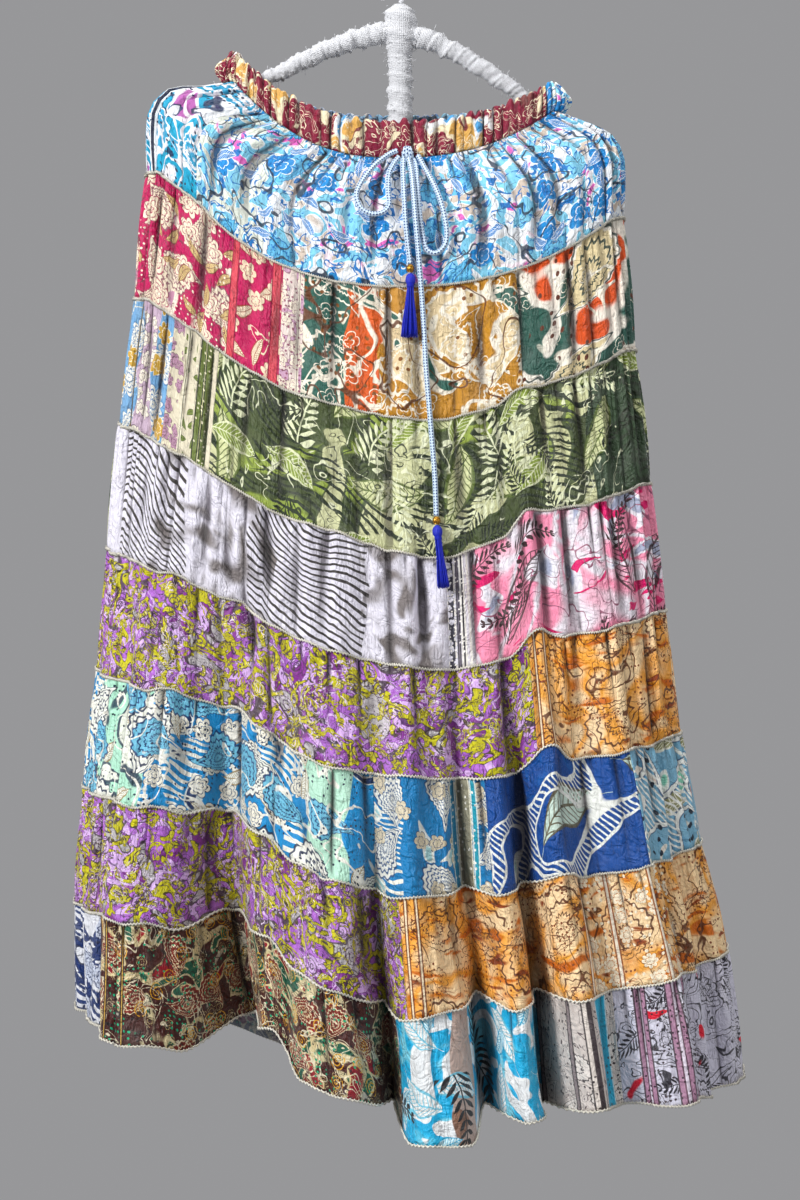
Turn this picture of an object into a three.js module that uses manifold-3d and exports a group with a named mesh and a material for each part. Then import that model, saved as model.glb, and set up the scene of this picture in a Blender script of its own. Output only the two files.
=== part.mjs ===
// A tiered ruffle skirt of patchwork cloth, gathered on an elastic waistband and hung on a wrapped hanger.
// Millimetres, +Z up, front towards -Y. The origin is the inside top of the hanger's hook.
import * as THREE from "three";
import Module from "manifold-3d";
import { mergeVertices } from "three/addons/utils/BufferGeometryUtils.js";

// ---- Driving dimensions ----
const WALL = 1.2; // thickness of the cloth wall
const BAND_WALL = 3; // casing with the elastic inside it
const BAND_HEIGHT = 33;
const BAND_END_HEIGHT = 25; // at its left and right, where it is crushed over the hanger
const SEAM_GAP = 0.3; // left between pieces that are sewn together
const BAND_GAP = 1; // from the casing down to the first tier, whose edge slants
const WAIST = { left: -126, right: -154, front: -200, backRise: 14 }; // height of the waist seam
const WAIST_END = 0.94; // share of the half width past which the seam runs level over the hanger
const WAIST_SAG = 2.4; // power of the seam's curve between its ends and its middle
const FLATNESS = 0.8; // power that squares off a ring's ends
const LEAST_DROP = 0.22; // share of a row's length that always falls
const FOLD_GROWTH = 1.3; // power with which a fold deepens towards the hem
// Columns of points round a ring: the widest apart they are in front and behind, and the nearest.
const COLUMN = { front: 0.0112, back: 0.02, nearest: 0.004 };

// Rings of the cloth from the waist seam to the hem. fall is the length of cloth down from the ring above.
const RINGS = [
  { halfWidth: 159, middle: -6, halfDepth: 26, fall: 0 },
  { halfWidth: 224, middle: -14, halfDepth: 56, fall: 130 },
  { halfWidth: 235, middle: -14, halfDepth: 68, fall: 116 },
  { halfWidth: 249, middle: -14, halfDepth: 80, fall: 118 },
  { halfWidth: 262, middle: -13, halfDepth: 92, fall: 113 },
  { halfWidth: 274, middle: -11, halfDepth: 104, fall: 109 },
  { halfWidth: 290, middle: -8, halfDepth: 114, fall: 108 },
  { halfWidth: 306, middle: 0, halfDepth: 124, fall: 106 },
  { halfWidth: 313, middle: 8, halfDepth: 134, fall: 112 },
];
const TIERS = RINGS.length - 1;

// Where tier 1 turns over the hanger's shoulders: share of the tier's length, and of the way out to its
// lower ring.
const SHOULDER = [
  { down: 0, out: 0 },
  { down: 0.2, out: 0.42 },
  { down: 0.38, out: 0.78 },
  { down: 0.54, out: 0.96 },
  { down: 0.76, out: 1 },
  { down: 1, out: 1 },
];
const TIER_ROWS = [0, 0.22, 1]; // the rows of points down every other tier

// The main folds. at is a share of the way round from the left side by the front, reach is how far the hem
// stands out (or back, below 0), width is half the fold's share of the ring, and from is the ring where it
// starts.
const FOLDS = [
  { at: 0.03, reach: -12, width: 0.03, from: 2 },
  { at: 0.1, reach: 30, width: 0.03, from: 2.5 },
  { at: 0.154, reach: -115, width: 0.034, from: 3.5 },
  { at: 0.219, reach: 36, width: 0.028, from: 1.5 },
  { at: 0.243, reach: -44, width: 0.008, from: 4.5 },
  { at: 0.26, reach: 40, width: 0.018, from: 1 },
  { at: 0.274, reach: 28, width: 0.012, from: 4.5 },
  { at: 0.288, reach: -50, width: 0.01, from: 3 },
  { at: 0.304, reach: 20, width: 0.011, from: 3 },
  { at: 0.3205, reach: -56, width: 0.009, from: 3.2 },
  { at: 0.337, reach: 28, width: 0.014, from: 2.5 },
  { at: 0.358, reach: -16, width: 0.012, from: 4 },
  { at: 0.39, reach: 26, width: 0.024, from: 2 },
  { at: 0.437, reach: -22, width: 0.02, from: 3 },
  { at: 0.53, reach: -20, width: 0.026, from: 3 },
  { at: 0.575, reach: 26, width: 0.026, from: 2 },
  { at: 0.618, reach: -44, width: 0.024, from: 3 },
  { at: 0.66, reach: 30, width: 0.026, from: 2 },
  { at: 0.705, reach: -52, width: 0.026, from: 3.5 },
  { at: 0.75, reach: 30, width: 0.026, from: 1.5 },
  { at: 0.795, reach: -46, width: 0.026, from: 3 },
  { at: 0.84, reach: 26, width: 0.026, from: 2 },
  { at: 0.887, reach: -40, width: 0.026, from: 3.5 },
];

// How far the cloth is drawn up at three of its rings and at the hem: the sewing is uneven, and the folds
// lift it. Below 0 it is let down.
const RISES = [
  { at: 0, ring3: 0, ring5: -8, ring7: -14, hem: 0 },
  { at: 0.05, ring3: -6, ring5: -16, ring7: -18, hem: -5 },
  { at: 0.1, ring3: -2, ring5: -3, ring7: 0, hem: 4 },
  { at: 0.128, ring3: 8, ring5: 20, ring7: 20, hem: 22 },
  { at: 0.148, ring3: 11, ring5: 27, ring7: 48, hem: 56 },
  { at: 0.165, ring3: 11, ring5: 38, ring7: 58, hem: 72 },
  { at: 0.186, ring3: 6, ring5: 28, ring7: 60, hem: 90 },
  { at: 0.203, ring3: 5, ring5: 18, ring7: 38, hem: 54 },
  { at: 0.219, ring3: 3, ring5: 10, ring7: 26, hem: 46 },
  { at: 0.241, ring3: -5, ring5: 9, ring7: 18, hem: 40 },
  { at: 0.252, ring3: -11, ring5: 7, ring7: 4, hem: 8 },
  { at: 0.276, ring3: -17, ring5: 4, ring7: 12, hem: 6 },
  { at: 0.288, ring3: -18, ring5: 4, ring7: 24, hem: 34 },
  { at: 0.304, ring3: -12, ring5: 0, ring7: 6, hem: 20 },
  { at: 0.3205, ring3: -8, ring5: 0, ring7: 16, hem: 24 },
  { at: 0.337, ring3: 12, ring5: 18, ring7: 2, hem: 18 },
  { at: 0.358, ring3: 4, ring5: -3, ring7: 0, hem: 10 },
  { at: 0.39, ring3: -6, ring5: -14, ring7: -9, hem: -8 },
  { at: 0.437, ring3: -15, ring5: -29, ring7: -24, hem: -28 },
  { at: 0.5, ring3: -17, ring5: -29, ring7: -20, hem: -24 },
  { at: 0.57, ring3: -6, ring5: -10, ring7: -8, hem: -10 },
  { at: 0.66, ring3: 0, ring5: 4, ring7: 2, hem: 4 },
  { at: 0.75, ring3: -4, ring5: 6, ring7: 10, hem: 16 },
  { at: 0.84, ring3: 2, ring5: 4, ring7: 16, hem: 24 },
  { at: 0.93, ring3: 0, ring5: -4, ring7: -4, hem: 8 },
  { at: 1, ring3: 0, ring5: -8, ring7: -14, hem: 0 },
];

// The small gathers where each tier is sewn to the one above.
const GATHER = { count: 20, depth: 3, peak: 0.22 };
const BAND_GATHER = { count: 18, depth: 1.6 };

// Patches round each tier, from the left side by the front. Each runs from its start to the next one's.
const PATCHES = [
  [
    { cloth: "blue_floral", start: 0.108 },
    { cloth: "cream_floral", start: 0.52 },
    { cloth: "teal_paisley", start: 0.86 },
  ],
  [
    { cloth: "rose_floral", start: 0.0 },
    { cloth: "rose_stripe", start: 0.143 },
    { cloth: "lilac_border", start: 0.182 },
    { cloth: "ochre_paisley", start: 0.197 },
    { cloth: "green_paisley", start: 0.341 },
    { cloth: "rose_floral", start: 0.62 },
  ],
  [
    { cloth: "sky_medallion", start: 0.98 },
    { cloth: "olive_border", start: 0.096 },
    { cloth: "green_leaf", start: 0.138 },
    { cloth: "sky_medallion", start: 0.58 },
  ],
  [
    { cloth: "zebra_wave", start: 0.0 },
    { cloth: "ink_border", start: 0.2855 },
    { cloth: "pink_leaf", start: 0.3005 },
    { cloth: "green_leaf", start: 0.56 },
  ],
  [
    { cloth: "violet_abstract", start: 0.96 },
    { cloth: "amber_paisley", start: 0.331 },
    { cloth: "zebra_wave", start: 0.66 },
  ],
  [
    { cloth: "mint_paisley", start: 0.005 },
    { cloth: "blue_paisley", start: 0.2425 },
    { cloth: "indigo_leaf", start: 0.3005 },
    { cloth: "sky_mint", start: 0.393 },
    { cloth: "mint_paisley", start: 0.64 },
  ],
  [
    { cloth: "violet_abstract", start: 0.97 },
    { cloth: "amber_paisley", start: 0.254 },
    { cloth: "pink_leaf", start: 0.68 },
  ],
  [
    { cloth: "navy_print", start: 0.95 },
    { cloth: "maroon_paisley", start: 0.075 },
    { cloth: "turquoise_leaf", start: 0.2475 },
    { cloth: "taupe_border", start: 0.3205 },
    { cloth: "scroll_print", start: 0.3595 },
    { cloth: "maroon_paisley", start: 0.6 },
  ],
];

const BAND_PATCHES = [
  { name: "waistband_front", start: 0.98, cloth: "wine_paisley" },
  { name: "waistband_side", start: 0.43, cloth: "blue_floral" },
  { name: "waistband_back", start: 0.62, cloth: "blue_floral" },
];

const CLOTH_COLOURS = {
  amber_paisley: "#d98a35",
  blue_floral: "#a9c7de",
  blue_paisley: "#4c93b8",
  cream_floral: "#d8d3c6",
  green_leaf: "#8d9a60",
  green_paisley: "#8c7d55",
  indigo_leaf: "#1c4b8c",
  ink_border: "#6b6570",
  lilac_border: "#cfc0c2",
  maroon_paisley: "#5d3a33",
  mint_paisley: "#6fa8b8",
  navy_print: "#a9b6cf",
  ochre_paisley: "#b98a4c",
  olive_border: "#b0a880",
  pink_leaf: "#dcb0bd",
  rose_floral: "#cf9b9e",
  rose_stripe: "#cc4f74",
  scroll_print: "#bcb9c6",
  sky_medallion: "#8fb0c9",
  sky_mint: "#8cc0cc",
  taupe_border: "#aca39f",
  teal_paisley: "#4f8fae",
  turquoise_leaf: "#52b3d2",
  violet_abstract: "#9a7aa0",
  wine_paisley: "#8a2f40",
  zebra_wave: "#bdbac2",
};

// The hanger: a wire wrapped in gauze strip.
const HOOK = { wire: 2.2, sides: 8, steps: 24 };
const HOOK_LINE = [
  { x: 0, z: -58 },
  { x: 0, z: -50 },
  { x: 5, z: -44 },
  { x: 16, z: -36 },
  { x: 22, z: -23 },
  { x: 20, z: -9 },
  { x: 11, z: -0.4 },
  { x: 0, z: 2.2 },
  { x: -12, z: -1 },
  { x: -20, z: -9 },
  { x: -22.5, z: -20 },
  { x: -20, z: -31 },
];
const ARM_SIDES = 12;
const LEFT_ARM = [
  { x: 6, z: -79, radius: 12 },
  { x: -20, z: -79, radius: 11 },
  { x: -50, z: -87, radius: 9.5 },
  { x: -80, z: -99, radius: 9 },
  { x: -108, z: -113, radius: 8 },
  { x: -132, z: -124, radius: 6.5 },
  { x: -156, z: -132.4, radius: 5.5 },
  { x: -186, z: -137.8, radius: 5.5 },
  { x: -214, z: -144.8, radius: 5.5 },
];
const RIGHT_ARM = [
  { x: -6, z: -80, radius: 12 },
  { x: 18, z: -82, radius: 11 },
  { x: 44, z: -92, radius: 9.5 },
  { x: 72, z: -108, radius: 9 },
  { x: 98, z: -125, radius: 8 },
  { x: 120, z: -141, radius: 6.5 },
  { x: 142, z: -156.8, radius: 5.5 },
  { x: 164, z: -168.8, radius: 5.5 },
  { x: 184, z: -176.8, radius: 5.5 },
];
// The wrapped neck and the short stem below it, from the top down.
const NECK = [
  { radius: 7, z: -52 },
  { radius: 15, z: -58 },
  { radius: 17, z: -72 },
  { radius: 15, z: -88 },
  { radius: 11.5, z: -98 },
  { radius: 12.5, z: -150 },
  { radius: 11.5, z: -215 },
  { radius: 7, z: -221 },
];
const NECK_SIDES = 14;

// The drawstring: a braided cord tied in a bow, with a bead and a tassel on each free end.
const CORD = { radius: 2.4, sides: 8 };
const KNOT = { x: 7, y: -33.9, z: -197, wide: 8, deep: 6, tall: 7 };
const LEFT_LOOP = [
  { x: -2.2, y: -34, z: -194.5 },
  { x: -10, y: -34.6, z: -198 },
  { x: -24, y: -42.5, z: -210 },
  { x: -35, y: -51.5, z: -226 },
  { x: -40, y: -57.5, z: -239 },
  { x: -36.5, y: -60.5, z: -251 },
  { x: -27, y: -61.5, z: -257 },
  { x: -16.5, y: -60.5, z: -256 },
  { x: -10.5, y: -57.5, z: -249 },
  { x: -11, y: -52.5, z: -236 },
  { x: -10.5, y: -45.5, z: -219 },
  { x: -6, y: -39.5, z: -208 },
  { x: -1.2, y: -35.5, z: -201 },
];
const RIGHT_LOOP = [
  { x: 16.8, y: -35.4, z: -199.5 },
  { x: 22.5, y: -41.5, z: -211 },
  { x: 30.5, y: -50.5, z: -227 },
  { x: 37, y: -57.5, z: -244 },
  { x: 41, y: -61, z: -260 },
  { x: 43, y: -61.5, z: -276 },
  { x: 40.5, y: -62, z: -287 },
  { x: 32.5, y: -62.5, z: -293.5 },
  { x: 24, y: -62, z: -289.5 },
  { x: 20.5, y: -61, z: -276 },
  { x: 18, y: -59.5, z: -258 },
  { x: 16, y: -52, z: -234 },
  { x: 14.5, y: -42, z: -212 },
  { x: 12.5, y: -35.5, z: -203.3 },
];
const SHORT_TAIL = [
  { x: 3.1, y: -37.5, z: -202.8 },
  { x: 2.8, y: -43.5, z: -216 },
  { x: 3.7, y: -52.5, z: -239 },
  { x: 5.5, y: -59.5, z: -270 },
  { x: 9.2, y: -61, z: -303.2 },
];
const LONG_TAIL = [
  { x: 8, y: -38.3, z: -202.6 },
  { x: 10.5, y: -46, z: -216 },
  { x: 12.4, y: -57, z: -237 },
  { x: 14.4, y: -64.9, z: -264 },
  { x: 17, y: -65, z: -294 },
  { x: 20, y: -63, z: -333 },
  { x: 22, y: -66, z: -365 },
  { x: 23.7, y: -69.2, z: -398 },
  { x: 26.4, y: -72, z: -432 },
  { x: 29.2, y: -74.5, z: -466 },
  { x: 31.8, y: -77.2, z: -500 },
  { x: 33, y: -80.5, z: -534.6 },
];
const BEAD = [
  { radius: 2.2, z: -3.8 },
  { radius: 3.9, z: -2.2 },
  { radius: 3.9, z: 2.2 },
  { radius: 2.2, z: 3.8 },
];
const BEAD_SIDES = 10;
const TASSEL = { head: 4.6, headHeight: 6.2, collar: 3.2, strands: 14, inner: 4, strand: 0.75 };
// Each tassel: the middle of its head, the middle of its cut end, and how far that end spreads.
const TASSELS = [
  { name: "tassel_short", x: 9.6, y: -62.6, z: -317.7, endX: 8.5, endY: -71, endZ: -371, wide: 8.4, deep: 5 },
  { name: "tassel_long", x: 34, y: -83.5, z: -549, endX: 39.6, endY: -92, endZ: -600, wide: 5.6, deep: 4.6 },
];
const BEADS = [
  { name: "bead_short", x: 9.4, y: -61.6, z: -307.4 },
  { name: "bead_long", x: 33.2, y: -81, z: -538.8 },
];

// ---- The cloth's surface ----
const lerp = (a, b, share) => a + (b - a) * share;
const eased = (share) => share * share * (3 - 2 * share);
const signedPower = (value, power) =>
  Math.sign(value) * Math.abs(value) ** power;
const roundGap = (a, b) => {
  const gap = Math.abs(a - b) % 1;
  return Math.min(gap, 1 - gap);
};

function waistHeight(turn) {
  const across = Math.cos(2 * Math.PI * turn);
  const end = across > 0 ? WAIST.left : WAIST.right;
  const back = turn > 0.5 ? WAIST.backRise * Math.sin(2 * Math.PI * turn) ** 2 : 0;
  const share = Math.min(1, Math.abs(across) / WAIST_END) ** WAIST_SAG;
  return lerp(WAIST.front, end, share) + back * (1 - share);
}

// The share of the way out to the lower ring, a share of the way down a tier.
function wayOut(tier, down) {
  if (tier > 1) return down;
  const below = SHOULDER.findIndex((row) => row.down >= down);
  if (below < 1) return 0;
  const [upper, lower] = [SHOULDER[below - 1], SHOULDER[below]];
  return lerp(upper.out, lower.out, (down - upper.down) / (lower.down - upper.down));
}

// How far the cloth is drawn up at a ring, between the stations of the table.
function riseAt(turn, level) {
  const next = RISES.findIndex(({ at }) => at > turn);
  const [left, right] = [RISES[next - 1], RISES[next]];
  const share = eased((turn - left.at) / (right.at - left.at));
  const stations = [
    { level: 1, rise: 0 },
    { level: 3, rise: lerp(left.ring3, right.ring3, share) },
    { level: 5, rise: lerp(left.ring5, right.ring5, share) },
    { level: 7, rise: lerp(left.ring7, right.ring7, share) },
    { level: TIERS, rise: lerp(left.hem, right.hem, share) },
  ];
  const below = stations.findIndex((station) => station.level >= level);
  if (below < 1) return 0;
  const [upper, lower] = [stations[below - 1], stations[below]];
  return lerp(upper.rise, lower.rise, (level - upper.level) / (lower.level - upper.level));
}

function foldReach(turn, level) {
  return FOLDS.reduce((sum, fold) => {
    const away = roundGap(turn, fold.at) / fold.width;
    if (away >= 1 || level <= fold.from) return sum;
    const grown = ((level - fold.from) / (TIERS - fold.from)) ** FOLD_GROWTH;
    return sum + fold.reach * grown * Math.cos((away * Math.PI) / 2) ** 2;
  }, 0);
}

// The cloth's place seen from above, and the way it faces, without the small gathers.
function planPoint(turn, level) {
  const tier = Math.max(1, Math.ceil(level));
  const share = wayOut(tier, level - tier + 1);
  const [upper, lower] = [RINGS[tier - 1], RINGS[tier]];
  const halfWidth = lerp(upper.halfWidth, lower.halfWidth, share);
  const halfDepth = lerp(upper.halfDepth, lower.halfDepth, share);
  const [across, forward] = [Math.cos(2 * Math.PI * turn), Math.sin(2 * Math.PI * turn)];
  const facing = new THREE.Vector2(-across * halfDepth, -forward * halfWidth).normalize();
  return {
    facing,
    place: new THREE.Vector2(
      lerp(upper.middle, lower.middle, share) - halfWidth * across,
      -halfDepth * signedPower(forward, FLATNESS),
    ).addScaledVector(facing, foldReach(turn, level)),
  };
}

// Columns of points round every ring: at the patches' ends, then at the folds' middles and sides, and more
// wherever they are far apart.
function columnTurns() {
  const wanted = [
    ...[...PATCHES.flat(), ...BAND_PATCHES].map(({ start }) => start),
    ...FOLDS.map(({ at }) => at),
    ...FOLDS.flatMap(({ at, width }) => [at - width / 2, at + width / 2]),
  ];
  const marks = wanted.reduce((kept, mark) => {
    const near = kept.some((other) => roundGap(other, mark) < COLUMN.nearest);
    return near ? kept : [...kept, (mark + 1) % 1];
  }, []);
  marks.sort((a, b) => a - b);
  return marks.flatMap((mark, i) => {
    const next = i + 1 < marks.length ? marks[i + 1] : marks[0] + 1;
    const parts = Math.ceil((next - mark) / (mark < 0.5 ? COLUMN.front : COLUMN.back));
    return Array.from({ length: parts }, (_, j) => (mark + ((next - mark) * j) / parts) % 1);
  });
}

const rowsOf = (tier) => (tier === 1 ? SHOULDER.map((row) => row.down) : TIER_ROWS);

function gatherDepth(turn, tier, down) {
  const shape = down < GATHER.peak ? down / GATHER.peak : (1 - down) / (1 - GATHER.peak);
  return GATHER.depth * shape * Math.cos(2 * Math.PI * (GATHER.count * turn + tier * 0.37));
}

// One column of the cloth's middle surface, from the waist seam to the hem: cloth keeps its length as it
// falls, so where it slants it hangs less far down.
function clothColumn(turn) {
  let z = waistHeight(turn);
  let last = planPoint(turn, 0).place;
  const column = [new THREE.Vector3(last.x, last.y, z)];
  for (let tier = 1; tier <= TIERS; tier++) {
    const rows = rowsOf(tier);
    for (let row = 1; row < rows.length; row++) {
      const level = tier - 1 + rows[row];
      const { place, facing } = planPoint(turn, level);
      const length = RINGS[tier].fall * (rows[row] - rows[row - 1]);
      const slant = place.distanceTo(last);
      z -= Math.sqrt(Math.max(length ** 2 - slant ** 2, (LEAST_DROP * length) ** 2));
      const puff = place.clone().addScaledVector(facing, gatherDepth(turn, tier, rows[row]));
      column.push(new THREE.Vector3(puff.x, puff.y, z + riseAt(turn, level)));
      last = place;
    }
  }
  return column;
}

// The waistband rises from the waist seam, gathered by its elastic.
const BAND_ROWS = [0, 0.5, 1];
function bandColumn(turn) {
  const { place, facing } = planPoint(turn, 0);
  const base = waistHeight(turn) + BAND_GAP;
  const height = lerp(BAND_HEIGHT, BAND_END_HEIGHT, Math.abs(Math.cos(2 * Math.PI * turn)) ** 3);
  return BAND_ROWS.map((up) => {
    const wave = Math.cos(2 * Math.PI * (BAND_GATHER.count * turn + up * 0.3));
    const puff = place.clone().addScaledVector(facing, BAND_GATHER.depth * wave * up);
    return new THREE.Vector3(puff.x, puff.y, base + height * up);
  }).reverse();
}

// The way each point of a grid of columns faces, outwards.
function facings(grid) {
  return grid.map((column, i) =>
    column.map((_, j) => {
      const right = grid[(i + 1) % grid.length][j];
      const left = grid[(i + grid.length - 1) % grid.length][j];
      const down = column[Math.min(j + 1, column.length - 1)];
      const up = column[Math.max(j - 1, 0)];
      const round = right.clone().sub(left);
      return round.cross(down.clone().sub(up)).negate().normalize();
    }),
  );
}

// A closed wall over the columns and rows given, thick along the facings and short of its neighbours by
// the gap.
function wall(grid, faces, columns, firstRow, lastRow, thickness) {
  const rows = Array.from({ length: lastRow - firstRow + 1 }, (_, j) => firstRow + j);
  const towards = (from, to, far) => from.clone().add(to.clone().sub(from).setLength(far));
  const layer = (side) =>
    columns.map((i, c) =>
      rows.map((j) => {
        let point = grid[i][j];
        const inner = c === 0 ? columns[1] : columns[columns.length - 2];
        if (c === 0 || c === columns.length - 1)
          point = towards(point, grid[inner][j], SEAM_GAP / 2);
        if (j === firstRow && j > 0) {
          const drop = grid[i][j + 1].clone().sub(grid[i][j]).setLength(SEAM_GAP);
          point = point.clone().add(drop);
        }
        return point.clone().addScaledVector(faces[i][j], (side * thickness) / 2);
      }),
    );
  const layers = [layer(1), layer(-1)];
  const [across, tall] = [columns.length, rows.length];
  const id = (side, c, r) => side * across * tall + c * tall + r;
  const triangles = [];
  const quad = (a, b, c, d) => triangles.push(a, b, c, a, c, d);
  for (let c = 0; c < across - 1; c++)
    for (let r = 0; r < tall - 1; r++) {
      quad(id(0, c, r), id(0, c, r + 1), id(0, c + 1, r + 1), id(0, c + 1, r));
      quad(id(1, c, r), id(1, c + 1, r), id(1, c + 1, r + 1), id(1, c, r + 1));
    }
  for (let c = 0; c < across - 1; c++) {
    quad(id(0, c, 0), id(0, c + 1, 0), id(1, c + 1, 0), id(1, c, 0));
    quad(id(0, c, tall - 1), id(1, c, tall - 1), id(1, c + 1, tall - 1), id(0, c + 1, tall - 1));
  }
  for (let r = 0; r < tall - 1; r++) {
    quad(id(0, 0, r), id(1, 0, r), id(1, 0, r + 1), id(0, 0, r + 1));
    const end = across - 1;
    quad(id(0, end, r), id(0, end, r + 1), id(1, end, r + 1), id(1, end, r));
  }
  const positions = layers.flat(2).flatMap((point) => point.toArray());
  return new THREE.BufferGeometry()
    .setAttribute("position", new THREE.Float32BufferAttribute(positions, 3))
    .setIndex(triangles);
}

// ---- Naming and placing ----
const skirt = new THREE.Group();

function add(name, geometry, colour, roughness = 0.6, metalness = 0) {
  const mesh = new THREE.Mesh(
    geometry,
    new THREE.MeshStandardMaterial({ color: colour, roughness, metalness }),
  );
  mesh.name = name;
  skirt.add(mesh);
  return mesh;
}

// ---- Tiers and waistband ----
const turns = columnTurns();
const nearestColumn = (turn) =>
  turns.reduce((best, t, i) => (roundGap(t, turn) < roundGap(turns[best], turn) ? i : best), 0);

// The columns from one patch's start to the next one's.
function columnsBetween(start, end) {
  const [first, last] = [nearestColumn(start), nearestColumn(end)];
  const count = ((last - first + turns.length) % turns.length) + 1;
  return Array.from({ length: count }, (_, i) => (first + i) % turns.length);
}

const cloth = turns.map(clothColumn);
const clothFacings = facings(cloth);
let firstRow = 0;
PATCHES.forEach((patches, i) => {
  const tier = i + 1;
  const lastRow = firstRow + rowsOf(tier).length - 1;
  patches.forEach(({ cloth: print, start }, p) => {
    const end = patches[(p + 1) % patches.length].start;
    const geometry = wall(cloth, clothFacings, columnsBetween(start, end), firstRow, lastRow, WALL);
    add(`tier_${tier}_${"abcdef"[p]}_${print}`, geometry, CLOTH_COLOURS[print]);
  });
  firstRow = lastRow;
});

const band = turns.map(bandColumn);
const bandFacings = facings(band);
BAND_PATCHES.forEach(({ name, start, cloth: print }, p) => {
  const end = BAND_PATCHES[(p + 1) % BAND_PATCHES.length].start;
  const columns = columnsBetween(start, end);
  add(name, wall(band, bandFacings, columns, 0, BAND_ROWS.length - 1, BAND_WALL), CLOTH_COLOURS[print]);
});

// ---- Hanger ----
const wasm = await Module();
wasm.setup();

function solidOf(geometry) {
  const bare = geometry.clone();
  bare.deleteAttribute("normal");
  bare.deleteAttribute("uv");
  const merged = mergeVertices(bare, 1e-3);
  return new wasm.Manifold(
    new wasm.Mesh({
      numProp: 3,
      vertProperties: merged.attributes.position.array,
      triVerts: new Uint32Array(merged.index.array),
    }),
  );
}

function geometryOf(solid) {
  const { vertProperties, triVerts } = solid.getMesh();
  return new THREE.BufferGeometry()
    .setAttribute("position", new THREE.BufferAttribute(vertProperties, 3))
    .setIndex(new THREE.BufferAttribute(triVerts, 1));
}

// A tube of changing radius through points in the plane of the hanger, closed at both ends by domes.
function arm(points) {
  const centres = points.map(({ x, z }) => new THREE.Vector3(x, 0, z));
  const along = centres.map((_, i) =>
    centres[Math.min(i + 1, centres.length - 1)]
      .clone()
      .sub(centres[Math.max(i - 1, 0)])
      .normalize(),
  );
  const last = points.length - 1;
  const tip = along[last].clone().multiplyScalar(points[last].radius * 0.7);
  const rings = points.map(({ radius }, i) => ({ centre: centres[i], radius, way: along[i] }));
  rings.push({
    centre: centres[last].clone().add(tip),
    radius: points[last].radius * 0.55,
    way: along[last],
  });
  const positions = [];
  rings.forEach(({ centre, radius, way }) => {
    const side = new THREE.Vector3(0, 1, 0);
    const up = new THREE.Vector3().crossVectors(way, side).normalize();
    for (let s = 0; s < ARM_SIDES; s++) {
      const angle = (s / ARM_SIDES) * 2 * Math.PI;
      const point = centre
        .clone()
        .addScaledVector(side, radius * Math.cos(angle))
        .addScaledVector(up, radius * Math.sin(angle));
      positions.push(...point.toArray());
    }
  });
  const triangles = [];
  for (let r = 0; r < rings.length - 1; r++)
    for (let s = 0; s < ARM_SIDES; s++) {
      const [a, b] = [r * ARM_SIDES + s, r * ARM_SIDES + ((s + 1) % ARM_SIDES)];
      triangles.push(a, b, b + ARM_SIDES, a, b + ARM_SIDES, a + ARM_SIDES);
    }
  const end = (rings.length - 1) * ARM_SIDES;
  for (let s = 1; s < ARM_SIDES - 1; s++)
    triangles.push(0, s + 1, s, end, end + s, end + s + 1);
  return new THREE.BufferGeometry()
    .setAttribute("position", new THREE.Float32BufferAttribute(positions, 3))
    .setIndex(triangles);
}

function tube(points, radius, sides, steps) {
  const section = new THREE.Shape(
    Array.from({ length: sides }, (_, i) => {
      const angle = (i / sides) * 2 * Math.PI;
      return new THREE.Vector2(radius * Math.cos(angle), radius * Math.sin(angle));
    }),
  );
  const path = new THREE.CatmullRomCurve3(points.map(({ x, y = 0, z }) => new THREE.Vector3(x, y, z)));
  return new THREE.ExtrudeGeometry(section, { steps, bevelEnabled: false, extrudePath: path });
}

function neck() {
  const profile = [
    new THREE.Vector2(0, NECK[NECK.length - 1].z),
    ...NECK.toReversed().map(({ radius, z }) => new THREE.Vector2(radius, z)),
    new THREE.Vector2(0, NECK[0].z),
  ];
  return new THREE.LatheGeometry(profile, NECK_SIDES).rotateX(Math.PI / 2);
}

const socket = solidOf(tube(HOOK_LINE, HOOK.wire + SEAM_GAP, HOOK.sides, HOOK.steps));
const wrapped = solidOf(neck()).add(solidOf(arm(LEFT_ARM))).add(solidOf(arm(RIGHT_ARM)));
add("hanger_frame", geometryOf(wrapped.subtract(socket)), "#e6e8ea", 0.9);
add("hanger_hook", tube(HOOK_LINE, HOOK.wire, HOOK.sides, HOOK.steps), "#e6e8ea", 0.9);

// ---- Drawstring ----
function ellipsoid({ x, y, z, wide, deep, tall }) {
  return new THREE.SphereGeometry(1, 12, 8).rotateX(Math.PI / 2).scale(wide, deep, tall).translate(x, y, z);
}

// A cord along its route, with a step about every two and a half diameters.
function cord(points) {
  const path = new THREE.CatmullRomCurve3(points.map(({ x, y, z }) => new THREE.Vector3(x, y, z)));
  return tube(points, CORD.radius, CORD.sides, Math.round(path.getLength() / (CORD.radius * 5)));
}

function bead({ x, y, z }) {
  const profile = [
    new THREE.Vector2(0, BEAD[0].z),
    ...BEAD.map(({ radius, z: height }) => new THREE.Vector2(radius, height)),
    new THREE.Vector2(0, BEAD[BEAD.length - 1].z),
  ];
  return new THREE.LatheGeometry(profile, BEAD_SIDES).rotateX(Math.PI / 2).translate(x, y, z);
}

// One thread of a tassel, rooted inside the head and standing apart from its neighbours below it.
function strand(angle, share, { wide, deep }, length) {
  const [across, forward] = [Math.cos(angle) * share, Math.sin(angle) * share];
  const points = [
    { x: across * TASSEL.collar * 0.7, y: forward * TASSEL.collar * 0.7, z: -TASSEL.headHeight * 0.7 },
    { x: across * wide * 0.72, y: forward * deep * 0.72, z: -length * 0.45 },
    { x: across * wide, y: forward * deep, z: -length },
  ];
  return tube(points, TASSEL.strand, 3, 2);
}

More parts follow.
